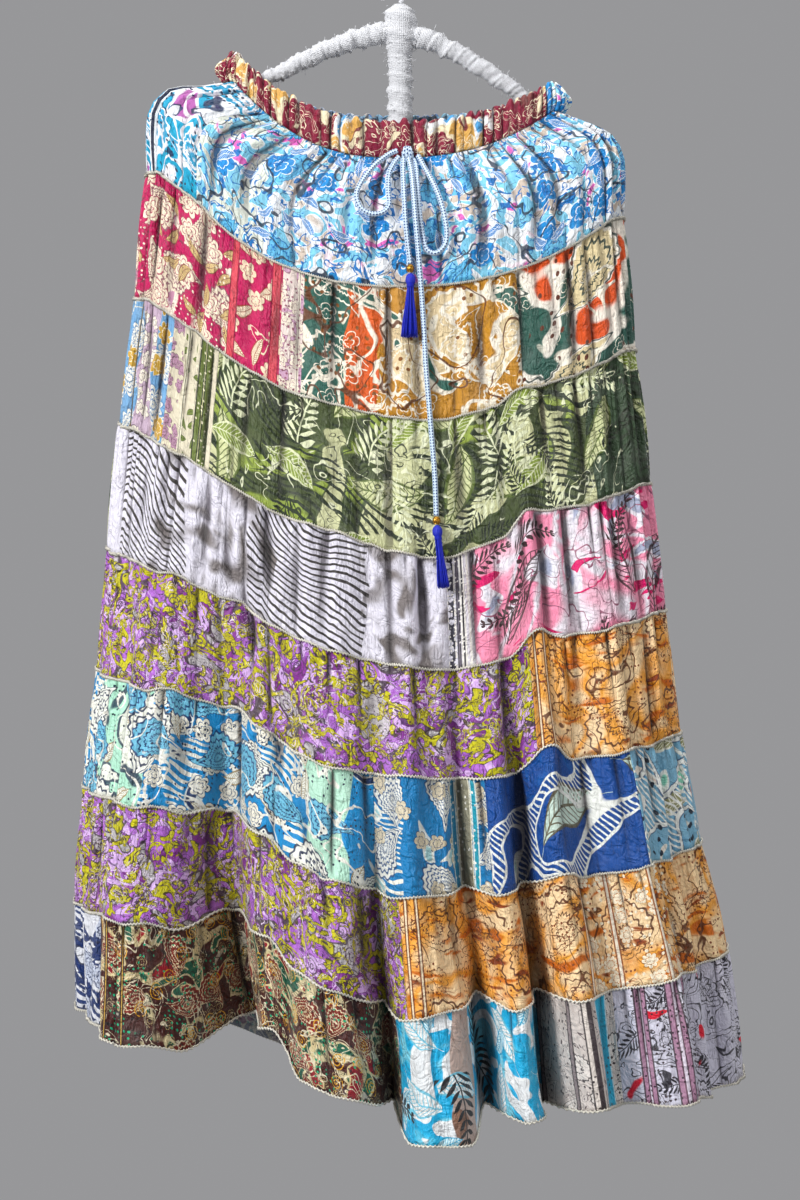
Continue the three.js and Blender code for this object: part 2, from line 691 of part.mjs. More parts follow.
function tassel(spec) {
  const way = new THREE.Vector3(spec.endX - spec.x, spec.endY - spec.y, spec.endZ - spec.z);
  const length = way.length();
  const head = { x: 0, y: 0, z: 0, wide: TASSEL.head, deep: TASSEL.head, tall: TASSEL.headHeight };
  const strands = [
    ...Array.from({ length: TASSEL.strands }, (_, i) => ({ turn: i / TASSEL.strands, share: 1 })),
    ...Array.from({ length: TASSEL.inner }, (_, i) => ({ turn: (i + 0.5) / TASSEL.inner, share: 0.42 })),
  ].map(({ turn, share }) => solidOf(strand(2 * Math.PI * turn, share, spec, length)));
  const turned = new THREE.Quaternion().setFromUnitVectors(new THREE.Vector3(0, 0, -1), way.normalize());
  return geometryOf(wasm.Manifold.union([solidOf(ellipsoid(head)), ...strands]))
    .applyQuaternion(turned)
    .translate(spec.x, spec.y, spec.z);
}

add("drawstring_knot", ellipsoid(KNOT), "#c8d6e6", 0.8);
add("drawstring_left_loop", cord(LEFT_LOOP), "#c8d6e6", 0.8);
add("drawstring_right_loop", cord(RIGHT_LOOP), "#c8d6e6", 0.8);
add("drawstring_short_tail", cord(SHORT_TAIL), "#c8d6e6", 0.8);
add("drawstring_long_tail", cord(LONG_TAIL), "#c8d6e6", 0.8);
BEADS.forEach((spec) => add(spec.name, bead(spec), "#c79a3f", 0.3, 1));
TASSELS.forEach((spec) => add(spec.name, tassel(spec), "#0a35c8", 0.8));

export default skirt;
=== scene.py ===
"""A tiered patchwork ruffle skirt with a tasselled drawstring, on a gauze-wrapped hanger.

Metres, +Z up, front towards -Y, origin at the inside top of the hanger's hook.
"""

import math

import bpy
import numpy as np
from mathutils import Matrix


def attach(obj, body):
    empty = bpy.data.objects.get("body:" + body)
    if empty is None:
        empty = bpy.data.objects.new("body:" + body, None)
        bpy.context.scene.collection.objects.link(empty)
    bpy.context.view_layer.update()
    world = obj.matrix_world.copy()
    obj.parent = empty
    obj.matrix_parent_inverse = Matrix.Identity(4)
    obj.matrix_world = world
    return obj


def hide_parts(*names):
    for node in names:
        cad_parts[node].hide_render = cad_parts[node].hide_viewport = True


bl_info = {
    "name": "Tiered ruffle skirt",
    "version": (1, 0, 0),
    "blender": (4, 5, 0),
    "location": "View3D > Sidebar > Skirt",
    "description": "Builds a tiered patchwork skirt on a hanger, with its cloth, cords and stage",
    "category": "Object",
}

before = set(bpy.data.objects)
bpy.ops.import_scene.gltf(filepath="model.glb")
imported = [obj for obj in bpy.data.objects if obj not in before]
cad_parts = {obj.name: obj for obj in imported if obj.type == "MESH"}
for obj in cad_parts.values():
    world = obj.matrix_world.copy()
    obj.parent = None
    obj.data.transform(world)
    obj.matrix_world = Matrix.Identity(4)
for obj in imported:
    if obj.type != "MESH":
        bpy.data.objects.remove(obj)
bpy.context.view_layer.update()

# ---- The cloth's form, in millimetres: the same values as the solids ----
WAIST = {"left": -126, "right": -154, "front": -200, "back_rise": 14}
WAIST_END = 0.94
WAIST_SAG = 2.4
FLATNESS = 0.8
LEAST_DROP = 0.22
FOLD_GROWTH = 1.3
BAND_HEIGHT = 33
BAND_END_HEIGHT = 25
BAND_GAP = 1
BAND_WALL = 2.2
BAND_LEVELS = 17
# The two lines of stitching that hold the elastic, and their width, as shares of the band's height.
BAND_STITCHES = (0.82, 0.16)
STITCH_WIDTH = 0.05

# Rings of the cloth from the waist seam to the hem.
RINGS = [
    {"half_width": 159, "middle": -6, "half_depth": 26, "fall": 0},
    {"half_width": 224, "middle": -14, "half_depth": 56, "fall": 130},
    {"half_width": 235, "middle": -14, "half_depth": 68, "fall": 116},
    {"half_width": 249, "middle": -14, "half_depth": 80, "fall": 118},
    {"half_width": 262, "middle": -13, "half_depth": 92, "fall": 113},
    {"half_width": 274, "middle": -11, "half_depth": 104, "fall": 109},
    {"half_width": 290, "middle": -8, "half_depth": 114, "fall": 108},
    {"half_width": 306, "middle": 0, "half_depth": 124, "fall": 106},
    {"half_width": 313, "middle": 8, "half_depth": 134, "fall": 112},
]
TIERS = len(RINGS) - 1
SHOULDER_DOWN = [0, 0.2, 0.38, 0.54, 0.76, 1]
SHOULDER_OUT = [0, 0.42, 0.78, 0.96, 1, 1]
TIER_ROWS = [0, 0.22, 1]
# Rows of faces down each tier, closer together where the gathers start.
FINE_ROWS = [0, 0.018, 0.045, 0.085, 0.14, 0.21, 0.29, 0.38, 0.48, 0.58, 0.68, 0.78, 0.87, 0.95, 1]

# The main folds: share of the way round, how far the hem stands out, half width and the ring where each
# starts.
FOLDS = [
    {"at": 0.03, "reach": -12, "width": 0.03, "start": 2},
    {"at": 0.1, "reach": 30, "width": 0.03, "start": 2.5},
    {"at": 0.154, "reach": -115, "width": 0.034, "start": 3.5},
    {"at": 0.219, "reach": 36, "width": 0.028, "start": 1.5},
    {"at": 0.243, "reach": -44, "width": 0.008, "start": 4.5},
    {"at": 0.26, "reach": 40, "width": 0.018, "start": 1},
    {"at": 0.274, "reach": 28, "width": 0.012, "start": 4.5},
    {"at": 0.288, "reach": -50, "width": 0.01, "start": 3},
    {"at": 0.304, "reach": 20, "width": 0.011, "start": 3},
    {"at": 0.3205, "reach": -56, "width": 0.009, "start": 3.2},
    {"at": 0.337, "reach": 28, "width": 0.014, "start": 2.5},
    {"at": 0.358, "reach": -16, "width": 0.012, "start": 4},
    {"at": 0.39, "reach": 26, "width": 0.024, "start": 2},
    {"at": 0.437, "reach": -22, "width": 0.02, "start": 3},
    {"at": 0.53, "reach": -20, "width": 0.026, "start": 3},
    {"at": 0.575, "reach": 26, "width": 0.026, "start": 2},
    {"at": 0.618, "reach": -44, "width": 0.024, "start": 3},
    {"at": 0.66, "reach": 30, "width": 0.026, "start": 2},
    {"at": 0.705, "reach": -52, "width": 0.026, "start": 3.5},
    {"at": 0.75, "reach": 30, "width": 0.026, "start": 1.5},
    {"at": 0.795, "reach": -46, "width": 0.026, "start": 3},
    {"at": 0.84, "reach": 26, "width": 0.026, "start": 2},
    {"at": 0.887, "reach": -40, "width": 0.026, "start": 3.5},
]

# How far the cloth is drawn up at three of its rings and at the hem.
RISES = [
    {"at": 0, "ring3": 0, "ring5": -8, "ring7": -14, "hem": 0},
    {"at": 0.05, "ring3": -6, "ring5": -16, "ring7": -18, "hem": -5},
    {"at": 0.1, "ring3": -2, "ring5": -3, "ring7": 0, "hem": 4},
    {"at": 0.128, "ring3": 8, "ring5": 20, "ring7": 20, "hem": 22},
    {"at": 0.148, "ring3": 11, "ring5": 27, "ring7": 48, "hem": 56},
    {"at": 0.165, "ring3": 11, "ring5": 38, "ring7": 58, "hem": 72},
    {"at": 0.186, "ring3": 6, "ring5": 28, "ring7": 60, "hem": 90},
    {"at": 0.203, "ring3": 5, "ring5": 18, "ring7": 38, "hem": 54},
    {"at": 0.219, "ring3": 3, "ring5": 10, "ring7": 26, "hem": 46},
    {"at": 0.241, "ring3": -5, "ring5": 9, "ring7": 18, "hem": 40},
    {"at": 0.252, "ring3": -11, "ring5": 7, "ring7": 4, "hem": 8},
    {"at": 0.276, "ring3": -17, "ring5": 4, "ring7": 12, "hem": 6},
    {"at": 0.288, "ring3": -18, "ring5": 4, "ring7": 24, "hem": 34},
    {"at": 0.304, "ring3": -12, "ring5": 0, "ring7": 6, "hem": 20},
    {"at": 0.3205, "ring3": -8, "ring5": 0, "ring7": 16, "hem": 24},
    {"at": 0.337, "ring3": 12, "ring5": 18, "ring7": 2, "hem": 18},
    {"at": 0.358, "ring3": 4, "ring5": -3, "ring7": 0, "hem": 10},
    {"at": 0.39, "ring3": -6, "ring5": -14, "ring7": -9, "hem": -8},
    {"at": 0.437, "ring3": -15, "ring5": -29, "ring7": -24, "hem": -28},
    {"at": 0.5, "ring3": -17, "ring5": -29, "ring7": -20, "hem": -24},
    {"at": 0.57, "ring3": -6, "ring5": -10, "ring7": -8, "hem": -10},
    {"at": 0.66, "ring3": 0, "ring5": 4, "ring7": 2, "hem": 4},
    {"at": 0.75, "ring3": -4, "ring5": 6, "ring7": 10, "hem": 16},
    {"at": 0.84, "ring3": 2, "ring5": 4, "ring7": 16, "hem": 24},
    {"at": 0.93, "ring3": 0, "ring5": -4, "ring7": -4, "hem": 8},
    {"at": 1, "ring3": 0, "ring5": -8, "ring7": -14, "hem": 0},
]

# Softer creases laid over the folds: from one place to another on the cloth (share round, ring), with the
# depth of the trough (a ridge above 0) and its half width as a share of the ring.
CREASES = [
    {"from": (0.135, 3.1), "to": (0.205, 5.0), "depth": -5, "width": 0.008},
    {"from": (0.150, 3.6), "to": (0.222, 5.9), "depth": -6, "width": 0.007},
    {"from": (0.172, 4.4), "to": (0.234, 6.8), "depth": -6, "width": 0.007},
    {"from": (0.188, 5.2), "to": (0.240, 7.6), "depth": -6, "width": 0.008},
    {"from": (0.160, 3.2), "to": (0.212, 4.6), "depth": 4, "width": 0.007},
    {"from": (0.178, 4.9), "to": (0.228, 6.9), "depth": 5, "width": 0.007},
    {"from": (0.060, 3.2), "to": (0.076, 5.2), "depth": -3, "width": 0.008},
    {"from": (0.080, 4.0), "to": (0.086, 6.5), "depth": -4, "width": 0.007},
    {"from": (0.118, 5.4), "to": (0.126, 7.9), "depth": -5, "width": 0.008},
    {"from": (0.250, 2.1), "to": (0.252, 4.9), "depth": -4, "width": 0.005},
    {"from": (0.272, 1.2), "to": (0.274, 3.8), "depth": -4, "width": 0.005},
    {"from": (0.276, 4.1), "to": (0.272, 7.9), "depth": -5, "width": 0.005},
    {"from": (0.300, 2.2), "to": (0.303, 4.4), "depth": -4, "width": 0.005},
    {"from": (0.346, 2.2), "to": (0.344, 4.9), "depth": -5, "width": 0.006},
    {"from": (0.366, 3.0), "to": (0.372, 6.2), "depth": -4, "width": 0.007},
    {"from": (0.402, 4.2), "to": (0.410, 7.6), "depth": -4, "width": 0.007},
    {"from": (0.420, 2.1), "to": (0.422, 4.2), "depth": -3, "width": 0.007},
    {"from": (0.460, 3.4), "to": (0.468, 6.4), "depth": -4, "width": 0.009},
    {"from": (0.560, 2.4), "to": (0.566, 5.8), "depth": -4, "width": 0.008},
    {"from": (0.600, 3.2), "to": (0.592, 6.9), "depth": -5, "width": 0.008},
    {"from": (0.642, 2.1), "to": (0.648, 4.6), "depth": -4, "width": 0.006},
    {"from": (0.684, 3.4), "to": (0.676, 7.4), "depth": -5, "width": 0.008},
    {"from": (0.728, 2.2), "to": (0.734, 5.2), "depth": -4, "width": 0.007},
    {"from": (0.772, 4.1), "to": (0.768, 7.8), "depth": -5, "width": 0.007},
    {"from": (0.818, 2.8), "to": (0.812, 5.6), "depth": -4, "width": 0.008},
    {"from": (0.862, 3.9), "to": (0.868, 7.4), "depth": -5, "width": 0.008},
    {"from": (0.915, 2.6), "to": (0.920, 5.4), "depth": -3, "width": 0.008},
]

# Gathers: sharp troughs that run down from a tier's upper seam, or up from its lower one. count round the
# ring, and depth, width and reach in millimetres.
GATHERS = [
    {"seam": "upper", "count": 122, "depth": 2.6, "width": 1.5, "reach": 24},
    {"seam": "upper", "count": 50, "depth": 3.6, "width": 2.3, "reach": 62},
    {"seam": "upper", "count": 20, "depth": 5.0, "width": 3.4, "reach": 125},
    {"seam": "lower", "count": 44, "depth": 2.4, "width": 2.2, "reach": 40},
]

# Waves round the ring, mixed so that no even beat shows: soft ones near the waist and near the hem, the
# puckers below each seam, the ripples between seams, and the waistband's puckers and frilled edge.
UPPER_WAVES = (17, 29, 41, 53)
LOWER_WAVES = (23, 37, 47, 61)
PUCKER_WAVES = (83, 97, 113, 131, 59)
RIPPLE_WAVES = (31, 43, 52, 67)
BAND_PUCKERS = (88, 101, 117, 73)
BAND_FRILL = (64, 91, 109)

# ---- Patches of each tier: the print, and the share of the way round where it starts ----
PATCHES = [
    [("blue_floral", 0.108), ("cream_floral", 0.52), ("teal_paisley", 0.86)],
    [
        ("rose_floral", 0.0),
        ("rose_stripe", 0.143),
        ("lilac_border", 0.182),
        ("ochre_paisley", 0.197),
        ("green_paisley", 0.341),
        ("rose_floral", 0.62),
    ],
    [("sky_medallion", 0.98), ("olive_border", 0.096), ("green_leaf", 0.138), ("sky_medallion", 0.58)],
    [("zebra_wave", 0.0), ("ink_border", 0.2855), ("pink_leaf", 0.3005), ("green_leaf", 0.56)],
    [("violet_abstract", 0.96), ("amber_paisley", 0.331), ("zebra_wave", 0.66)],
    [
        ("mint_paisley", 0.005),
        ("blue_paisley", 0.2425),
        ("indigo_leaf", 0.3005),
        ("sky_mint", 0.393),
        ("mint_paisley", 0.64),
    ],
    [("violet_abstract", 0.97), ("amber_paisley", 0.254), ("pink_leaf", 0.68)],
    [
        ("navy_print", 0.95),
        ("maroon_paisley", 0.075),
        ("turquoise_leaf", 0.2475),
        ("taupe_border", 0.3205),
        ("scroll_print", 0.3595),
        ("maroon_paisley", 0.6),
    ],
]
BAND_PATCHES = [
    ("waistband_front", 0.98, "wine_paisley"),
    ("waistband_side", 0.43, "blue_floral"),
    ("waistband_back", 0.62, "blue_floral"),
]
# How far down its print each tier and each patch starts, in metres, so that alike patches differ.
TIER_SHIFT = 0.37
PATCH_SHIFT = 0.23


# ---- Prints: a ground colour and layers of motifs ----
def motif(kind, fill, line=None, **form):
    """One layer of a print: a motif by name, the colours of its fill and its lines, and its form."""
    return {"kind": kind, "fill": fill, "line": line, **form}


# size: of one motif in millimetres. width: of the lines, against the usual. share: how many of the motifs
# show. span: where the layer shows, in millimetres from the patch's left edge. zone: size of the areas
# where it shows, with bare ones between them. edges: of a band, in millimetres from the same edge.
PRINTS = {
    "blue_floral": ("#e6eaee", [
        motif("marble", "#cdbfb2", size=90, cover=0.62, soft=0.05),
        motif("area", "#dfe4d9", span=(0, 84)),
        motif("marble", "#e57cc4", "#fbeef6", size=50, cover=0.46, seed=6),
        motif("marble", "#8fcfe9", "#f8fbfd", size=34, bands=2, cover=0.44, seed=2),
        motif("paisley", "#74bde2", "#2a6cae", size=46, rings=3, share=0.4, seed=3),
        motif("bloom", "#3c8fd0", "#eef6fb", size=34, petals=5, rings=2, share=0.34),
        motif("marble", "#2a76be", size=20, bands=2, cover=0.15, seed=9),
        motif("marble", None, "#233246", size=60, cover=0.7, seed=12, width=0.4, swirl=0.4),
        motif(
            "marble", None, "#4a5a70", size=30, bands=2, cover=0.3, seed=32, width=0.6, swirl=0.5, zone=60
        ),
        motif("leaf", "#2b7fc6", "#f2f7fa", size=24, share=0.3, seed=5),
    ]),
    "cream_floral": ("#ddd8cf", [
        motif("marble", "#c4d2dc", "#8c99a8", size=80, bands=2, cover=0.4),
        motif("bloom", "#6a9cc6", "#eef2f4", size=40, petals=6, rings=3),
        motif("paisley", "#a9bccb", "#4c6886", size=44, rings=3, share=0.6),
        motif("leaf", "#b79a86", "#5d4a44", size=26, share=0.7),
    ]),
    "teal_paisley": ("#2ea3c8", [
        motif("marble", "#b066a8", "#f7f2f8", size=80, cover=0.6, width=1.6),
        motif("marble", "#e9ecf0", "#1c3056", size=60, cover=0.4, seed=4),
        motif("paisley", "#4fa4ca", "#f7f8fa", size=70, rings=3, width=1.6),
        motif("marble", None, "#f7f5f9", size=60, bands=2, cover=0.3, seed=3, width=1.6, swirl=0.3),
        motif("stripe", "#14203a", "#f0f4f6", size=84, low=0.04, high=0.1),
        motif("dots", "#1b2c4c", size=6, zone=40),
    ]),
    "rose_floral": ("#c23a66", [
        motif("marble", "#b4849b", "#f2e7d6", size=120, cover=0.4),
        motif("marble", "#e6d5b0", "#8c4a58", size=70, cover=0.26, seed=7),
        motif("paisley", "#eadcc6", "#8a5664", size=58, rings=5, share=0.8),
        motif("bloom", "#f3e6cf", "#a34a5e", size=34, petals=7, rings=3, share=0.8),
        motif("leaf", "#dcc48e", "#7c4a3c", size=26, share=0.4),
        motif("marble", None, "#7a4650", size=26, bands=2, cover=0.2, seed=9, width=0.6),
        motif("dots", "#f4e9d6", size=5, zone=40),
    ]),
    "rose_stripe": ("#c2285e", [
        motif("marble", None, "#f2e3c6", size=30, cover=0.24),
        motif("leaf", "#f2e3c8", "#9a4a3a", size=30, share=0.75),
        motif("bloom", "#f0dcc0", "#b0405c", size=26, petals=6, rings=2, share=0.6),
        motif("band", "#d9656f", "#8f2440", edges=(0, 8)),
        motif("band", "#d9656f", "#8f2440", edges=(47, 56)),
    ]),
    "lilac_border": ("#e2d3cc", [
        motif("marble", "#c9a3bb", "#8d6470", size=30, bands=2, cover=0.4),
        motif("bloom", "#efe3d2", "#86566a", size=18, petals=6, rings=2),
        motif("band", "#4e3a3c", "#efe6d6", edges=(17, 19)),
        motif("dots", "#8d5568", size=5),
    ]),
    "ochre_paisley": ("#bf8c46", [
        motif("marble", "#e0cca6", "#f7efde", size=84, cover=0.62, seed=9),
        motif("area", "#2a5c50", span=(0, 44)),
        motif("area", "#d65f2d", span=(44, 74)),
        motif("marble", "#2a5c50", "#f5edda", size=70, cover=0.36, seed=21),
        motif("paisley", None, "#f7efde", size=66, rings=2, width=1.6),
        motif("bloom", None, "#f7efde", size=26, petals=5, rings=2, share=0.5, width=1.3),
        motif("marble", None, "#f7efde", size=90, bands=2, cover=0.3, seed=5, width=1.1, swirl=0.3),
        motif("marble", None, "#5e341a", size=80, width=0.4, cover=0.7, seed=12, swirl=0.4),
        motif("dots", "#7e4c1e", size=9, zone=50),
    ]),
    "green_paisley": ("#2a5449", [
        motif("marble", "#d9572a", "#f7f1e4", size=120, cover=0.62, seed=8, width=1.2, swirl=0.5),
        motif("marble", "#d8c598", "#f7f1e4", size=110, cover=0.4, seed=3, width=1.4, swirl=0.5),
        motif("paisley", "#dccca4", "#faf5ea", size=104, rings=1, width=3.4, share=0.75),
        motif("paisley", None, "#16332c", size=104, rings=3, width=1.1, share=0.75),
        motif("marble", None, "#f5eedd", size=90, bands=2, cover=0.3, seed=7, swirl=0.3, zone=80),
        motif("bloom", None, "#f5eedd", size=22, petals=5, rings=2, share=0.3),
        motif("dots", "#5c2c18", size=11, zone=60),
    ]),
    "sky_medallion": ("#7ea9d0", [
        motif("marble", None, "#efe9d8", size=46, cover=0.3, seed=5),
        motif("bloom", "#e9e8df", "#5b83ae", size=46, petals=14, rings=4),
        motif("bloom", "#cba557", "#f3ead2", size=28, petals=8, rings=2, share=0.5),
        motif("band", "#c79a4b", "#3f3a2a", edges=(58, 62)),
        motif("area", "#c4aec0", span=(64, 90)),
        motif("bloom", "#efe8da", "#6a5566", size=18, petals=6, rings=2, span=(64, 90)),
    ]),
    "olive_border": ("#dcd4bd", [
        motif("bloom", "#b08aa0", "#4a3a34", size=17, petals=6, rings=2, span=(0, 18)),
        motif("leaf", "#7f8f4a", "#2f3a20", size=16, span=(20, 36)),
        motif("band", "#2f3424", "#efe9d2", edges=(18, 20)),
        motif("band", "#6f7d42", "#252e1a", edges=(36, 53)),
        motif("band", "#d9d6a8", "#252e1a", edges=(42, 44)),
        motif("dots", "#efe9cc", size=5, span=(36, 54)),
    ]),
    "green_leaf": ("#444f2e", [
        motif("marble", "#94a554", size=120, cover=0.7, soft=0.03),
        motif("marble", "#c9cba0", "#3c4a26", size=90, cover=0.66, seed=3),
        motif("area", "#31452d", span=(400, 620)),
        motif("wave", "#222e1a", size=8, cover=0.24, zone=70, bend=60),
        motif("leaf", "#cfd3a4", "#56662f", size=78, share=0.75, seed=7),
        motif("leaf", "#8c9d4e", "#e2e6c2", size=60, share=0.4, seed=17),
        motif("fern", "#e1e5c2", size=74, share=0.8),
        motif("fern", "#1c2715", size=46, share=0.45, seed=11),
        motif(
            "marble", None, "#e4e7c8", size=40, bands=2, cover=0.3, seed=5, width=0.7, swirl=0.5, zone=60
        ),
        motif(
            "marble", None, "#212d18", size=30, bands=2, cover=0.3, seed=15, width=0.9, swirl=0.6, zone=60
        ),
    ]),
    "zebra_wave": ("#e4e1ec", [
        motif("marble", "#77706f", size=56, cover=0.6, soft=0.16, span=(96, 240)),
        motif("marble", "#77706f", size=46, cover=0.6, soft=0.15, span=(330, 440), seed=5),
        motif("wave", "#37322f", size=6.6, cover=0.22, bend=76, span=(44, 130)),
        motif("wave", "#332e2c", size=7.4, cover=0.22, bend=92, span=(206, 336)),
        motif("wave", "#45403e", size=7.4, cover=0.22, bend=90, span=(470, 620)),
    ]),
    "ink_border": ("#d6d1d8", [
        motif("band", "#2b2a3a", "#efe9e2", edges=(0, 7)),
        motif("bloom", "#d5d2dc", "#2a2833", size=8, petals=5, rings=1, span=(0, 8)),
        motif("band", "#7d7484", "#2a2833", edges=(9, 11)),
        motif("band", "#2b2630", "#f3efe8", edges=(13, 16)),
        motif("band", "#2b2630", "#f3efe8", edges=(20, 21)),
        motif("dots", "#f3efe8", size=4),
    ]),
    "pink_leaf": ("#ede6ee", [
        motif("marble", "#f79fb9", size=100, cover=0.84, soft=0.07),
        motif("marble", "#aab0c6", "#f0edf4", size=90, cover=0.5, seed=7),
        motif("marble", "#e04c7c", size=24, cover=0.4, seed=11, stretch=2.2, zone=60),
        motif("leaf", None, "#3a2226", size=88, share=0.7),
        motif("fern", "#3a2226", size=56, share=0.3, seed=5),
        motif("marble", None, "#9a5c74", size=46, cover=0.7, seed=4, width=0.35, swirl=0.5),
    ]),
    "violet_abstract": ("#b377cd", [
        motif("marble", "#82398c", size=95, cover=0.66, soft=0.05),
        motif("marble", "#dcb8ec", "#5e3470", size=30, bands=2, cover=0.4, width=0.7),
        motif("marble", "#b9b4b6", "#4a3a44", size=50, cover=0.5, seed=8),
        motif("marble", "#cbc41c", "#43371c", size=24, bands=2, cover=0.34, seed=3, width=1.2),
        motif("marble", "#bdb318", "#4c3a2a", size=11, bands=2, cover=0.3, seed=17, zone=22, width=0.9),
        motif("spiral", None, "#4c3050", size=20, share=0.3),
        motif("marble", None, "#3d2a44", size=16, bands=2, cover=0.3, seed=14, width=1.1),
        motif("marble", None, "#ecdcf2", size=14, bands=2, cover=0.26, seed=23, width=0.8, zone=34),
    ]),
    "amber_paisley": ("#f5b165", [
        motif("marble", "#fddfb4", size=70, cover=0.74, soft=0.12),
        motif("marble", "#cf6a14", size=22, cover=0.42, soft=0.1, seed=5, stretch=3.2),
        motif("marble", "#8f3a06", size=17, cover=0.26, soft=0.07, seed=25, stretch=3.4),
        motif("paisley", None, "#54280f", size=76, rings=3, width=0.9, share=0.9),
        motif("bloom", None, "#6a3010", size=30, petals=8, rings=2, share=0.4, width=0.8),
        motif("marble", None, "#5f3012", size=52, cover=0.7, seed=12, width=0.3, swirl=0.4),
        motif("dots", "#7c3a12", size=5, zone=24),
        motif("band", "#fbeacb", "#7a3a14", edges=(6, 9)),
        motif("band", "#fbeacb", "#7a3a14", edges=(17, 20)),
        motif("bloom", "#fdf1d8", "#c87a28", size=19, petals=8, rings=2, share=0.6, span=(290, 410)),
        motif("dots", "#fdf1d8", size=7, span=(290, 410)),
        motif("band", "#fdf3e0", "#9a5420", edges=(286, 290)),
        motif("band", "#fdf3e0", "#9a5420", edges=(324, 328)),
        motif("band", "#fdf3e0", "#9a5420", edges=(370, 374)),
    ]),
    "mint_paisley": ("#1e8dcb", [
        motif("marble", "#12305e", "#e6ece6", size=60, cover=0.4, seed=6),
        motif("area", "#b8e8d0", span=(28, 118)),
        motif("area", "#bde6d0", span=(322, 372)),
        motif("wave", "#f2f1e4", size=7.5, cover=0.4, bend=60, span=(0, 28)),
        motif("marble", "#f0f4e8", "#20384f", size=70, cover=0.66, seed=9, swirl=0.5, span=(28, 118)),
        motif("wave", "#f0efe4", size=7.5, cover=0.3, bend=70, zone=46, span=(118, 322)),
        motif("bloom", "#ece8d8", "#2a4a70", size=27, petals=6, rings=3, share=0.7, span=(118, 322)),
        motif("leaf", "#eef0e6", "#a08a5c", size=36, share=0.3, seed=31),
        motif("paisley", "#eff1e8", "#16264a", size=74, rings=5, share=0.6),
        motif("paisley", "#7fc0da", "#1b3c70", size=56, rings=4, share=0.6, seed=8),
        motif("marble", None, "#f5f3e8", size=50, cover=0.7, seed=19, width=0.6, swirl=0.4),
        motif("dots", "#14233f", size=5, zone=20),
    ]),
    "blue_paisley": ("#1f7db8", [
        motif("marble", "#a9d0d2", "#eef0e8", size=56, cover=0.26, seed=2),
        motif("wave", "#f0efe4", size=6.5, cover=0.24, bend=60, span=(0, 34)),
        motif("paisley", "#e9eae2", "#1b4a7c", size=60, rings=5),
        motif("bloom", "#d8cdb4", "#1b3f66", size=22, petals=6, rings=2, share=0.6),
        motif("band", "#1f86b0", "#e3ede8", edges=(98, 107)),
        motif("band", "#93907c", "#e9e4cc", edges=(109, 126)),
        motif("band", "#3f9fb4", "#e3ede8", edges=(128, 134)),
        motif("dots", "#f3f1e6", size=6, span=(98, 140)),
    ]),
    "indigo_leaf": ("#0c4a98", [
        motif("marble", "#1a5dab", size=40, cover=0.3, soft=0.1),
        motif("marble", "#9fdccb", "#f2f4ec", size=120, cover=0.1, seed=4),
        motif("marble", "#e5a290", "#f2f4ec", size=90, cover=0.05, seed=14),
        motif("leaf", "#cfe2d6", "#5b5236", size=98, share=0.8),
        motif("ladder", "#f2f4ee", size=110),
    ]),
    "sky_mint": ("#8ab8d0", [
        motif("marble", "#73a5c4", size=36, cover=0.4, soft=0.12),
        motif("marble", "#9fe3c8", "#f4f6ec", size=95, cover=0.4),
        motif("marble", "#ec9f88", "#f4efe2", size=60, cover=0.12, seed=4),
        motif("leaf", "#94956c", "#f2efe0", size=56, share=0.4),
        motif("ladder", "#23406c", size=100, rail=1.5),
        motif("ladder", "#f4f6f0", size=100),
        motif("dots", "#1f2c3c", size=12, zone=60),
    ]),
    "navy_print": ("#e0e2e8", [
        motif("marble", "#24366a", "#1a2448", size=34, bands=2, cover=0.26),
        motif("wave", "#2a3c6c", size=6, cover=0.3, bend=40, zone=40),
        motif("paisley", "#c7cede", "#1c2c5c", size=40, rings=4, share=0.7),
    ]),
    "maroon_paisley": ("#43150f", [
        motif("marble", "#115a42", "#dccfa8", size=56, cover=0.5),
        motif("marble", "#941a28", "#d8c89c", size=52, cover=0.54, seed=4),
        motif("marble", "#b9b2a4", "#1c1212", size=40, cover=0.26, seed=8),
        motif("paisley", "#7c2418", "#e6dab8", size=42, rings=4, share=0.7),
        motif("spiral", None, "#e0a840", size=18, share=0.3),
        motif("bloom", None, "#e0cf9c", size=13, petals=6, rings=2, share=0.4),
        motif("marble", None, "#eae0c4", size=30, bands=2, cover=0.24, seed=19, width=0.8, swirl=0.5),
        motif("marble", None, "#120808", size=18, bands=2, cover=0.3, seed=9),
        motif("dots", "#2fb082", size=5, zone=30),
        motif("band", "#35100e", "#e0b25c", edges=(0, 11)),
        motif("band", "#e0b868", "#2a0f0e", edges=(23, 25)),
        motif("band", "#e0b868", "#2a0f0e", edges=(37, 39)),
        motif("band", "#e0b868", "#2a0f0e", edges=(55, 57)),
    ]),
    "turquoise_leaf": ("#33b2e2", [
        motif("marble", "#8fdcf1", size=60, cover=0.62, soft=0.08, seed=4),
        motif("marble", "#e4e8ea", "#f8fafa", size=70, cover=0.62),
        motif("area", "#bfaaa0", span=(76, 112)),
        motif("marble", "#8c6a58", size=50, cover=0.4, soft=0.05, seed=12, span=(76, 112)),
        motif("leaf", "#eef1f0", "#7cc6dc", size=60, share=0.8),
        motif("leaf", "#d2eff6", "#34a4cc", size=42, share=0.6, seed=6),
        motif("fern", "#17171c", size=76, share=0.3, seed=9),
    ]),
    "taupe_border": ("#d3cac4", [
        motif("marble", None, "#4c4044", size=24, bands=2, cover=0.3, width=0.7),
        motif("paisley", "#e2dbd5", "#1f1a1e", size=36, rings=2, share=0.8),
        motif("band", "#8a7f80", "#2a2226", edges=(0, 5)),
        motif("band", "#8a7f80", "#2a2226", edges=(58, 63)),
        motif("band", "#ddd4cc", "#2a2226", edges=(78, 92)),
        motif("band", "#3a2f33", "#3a2f33", edges=(83, 87)),
        motif("band", "#45b8dc", "#c8e8f0", edges=(102, 130)),
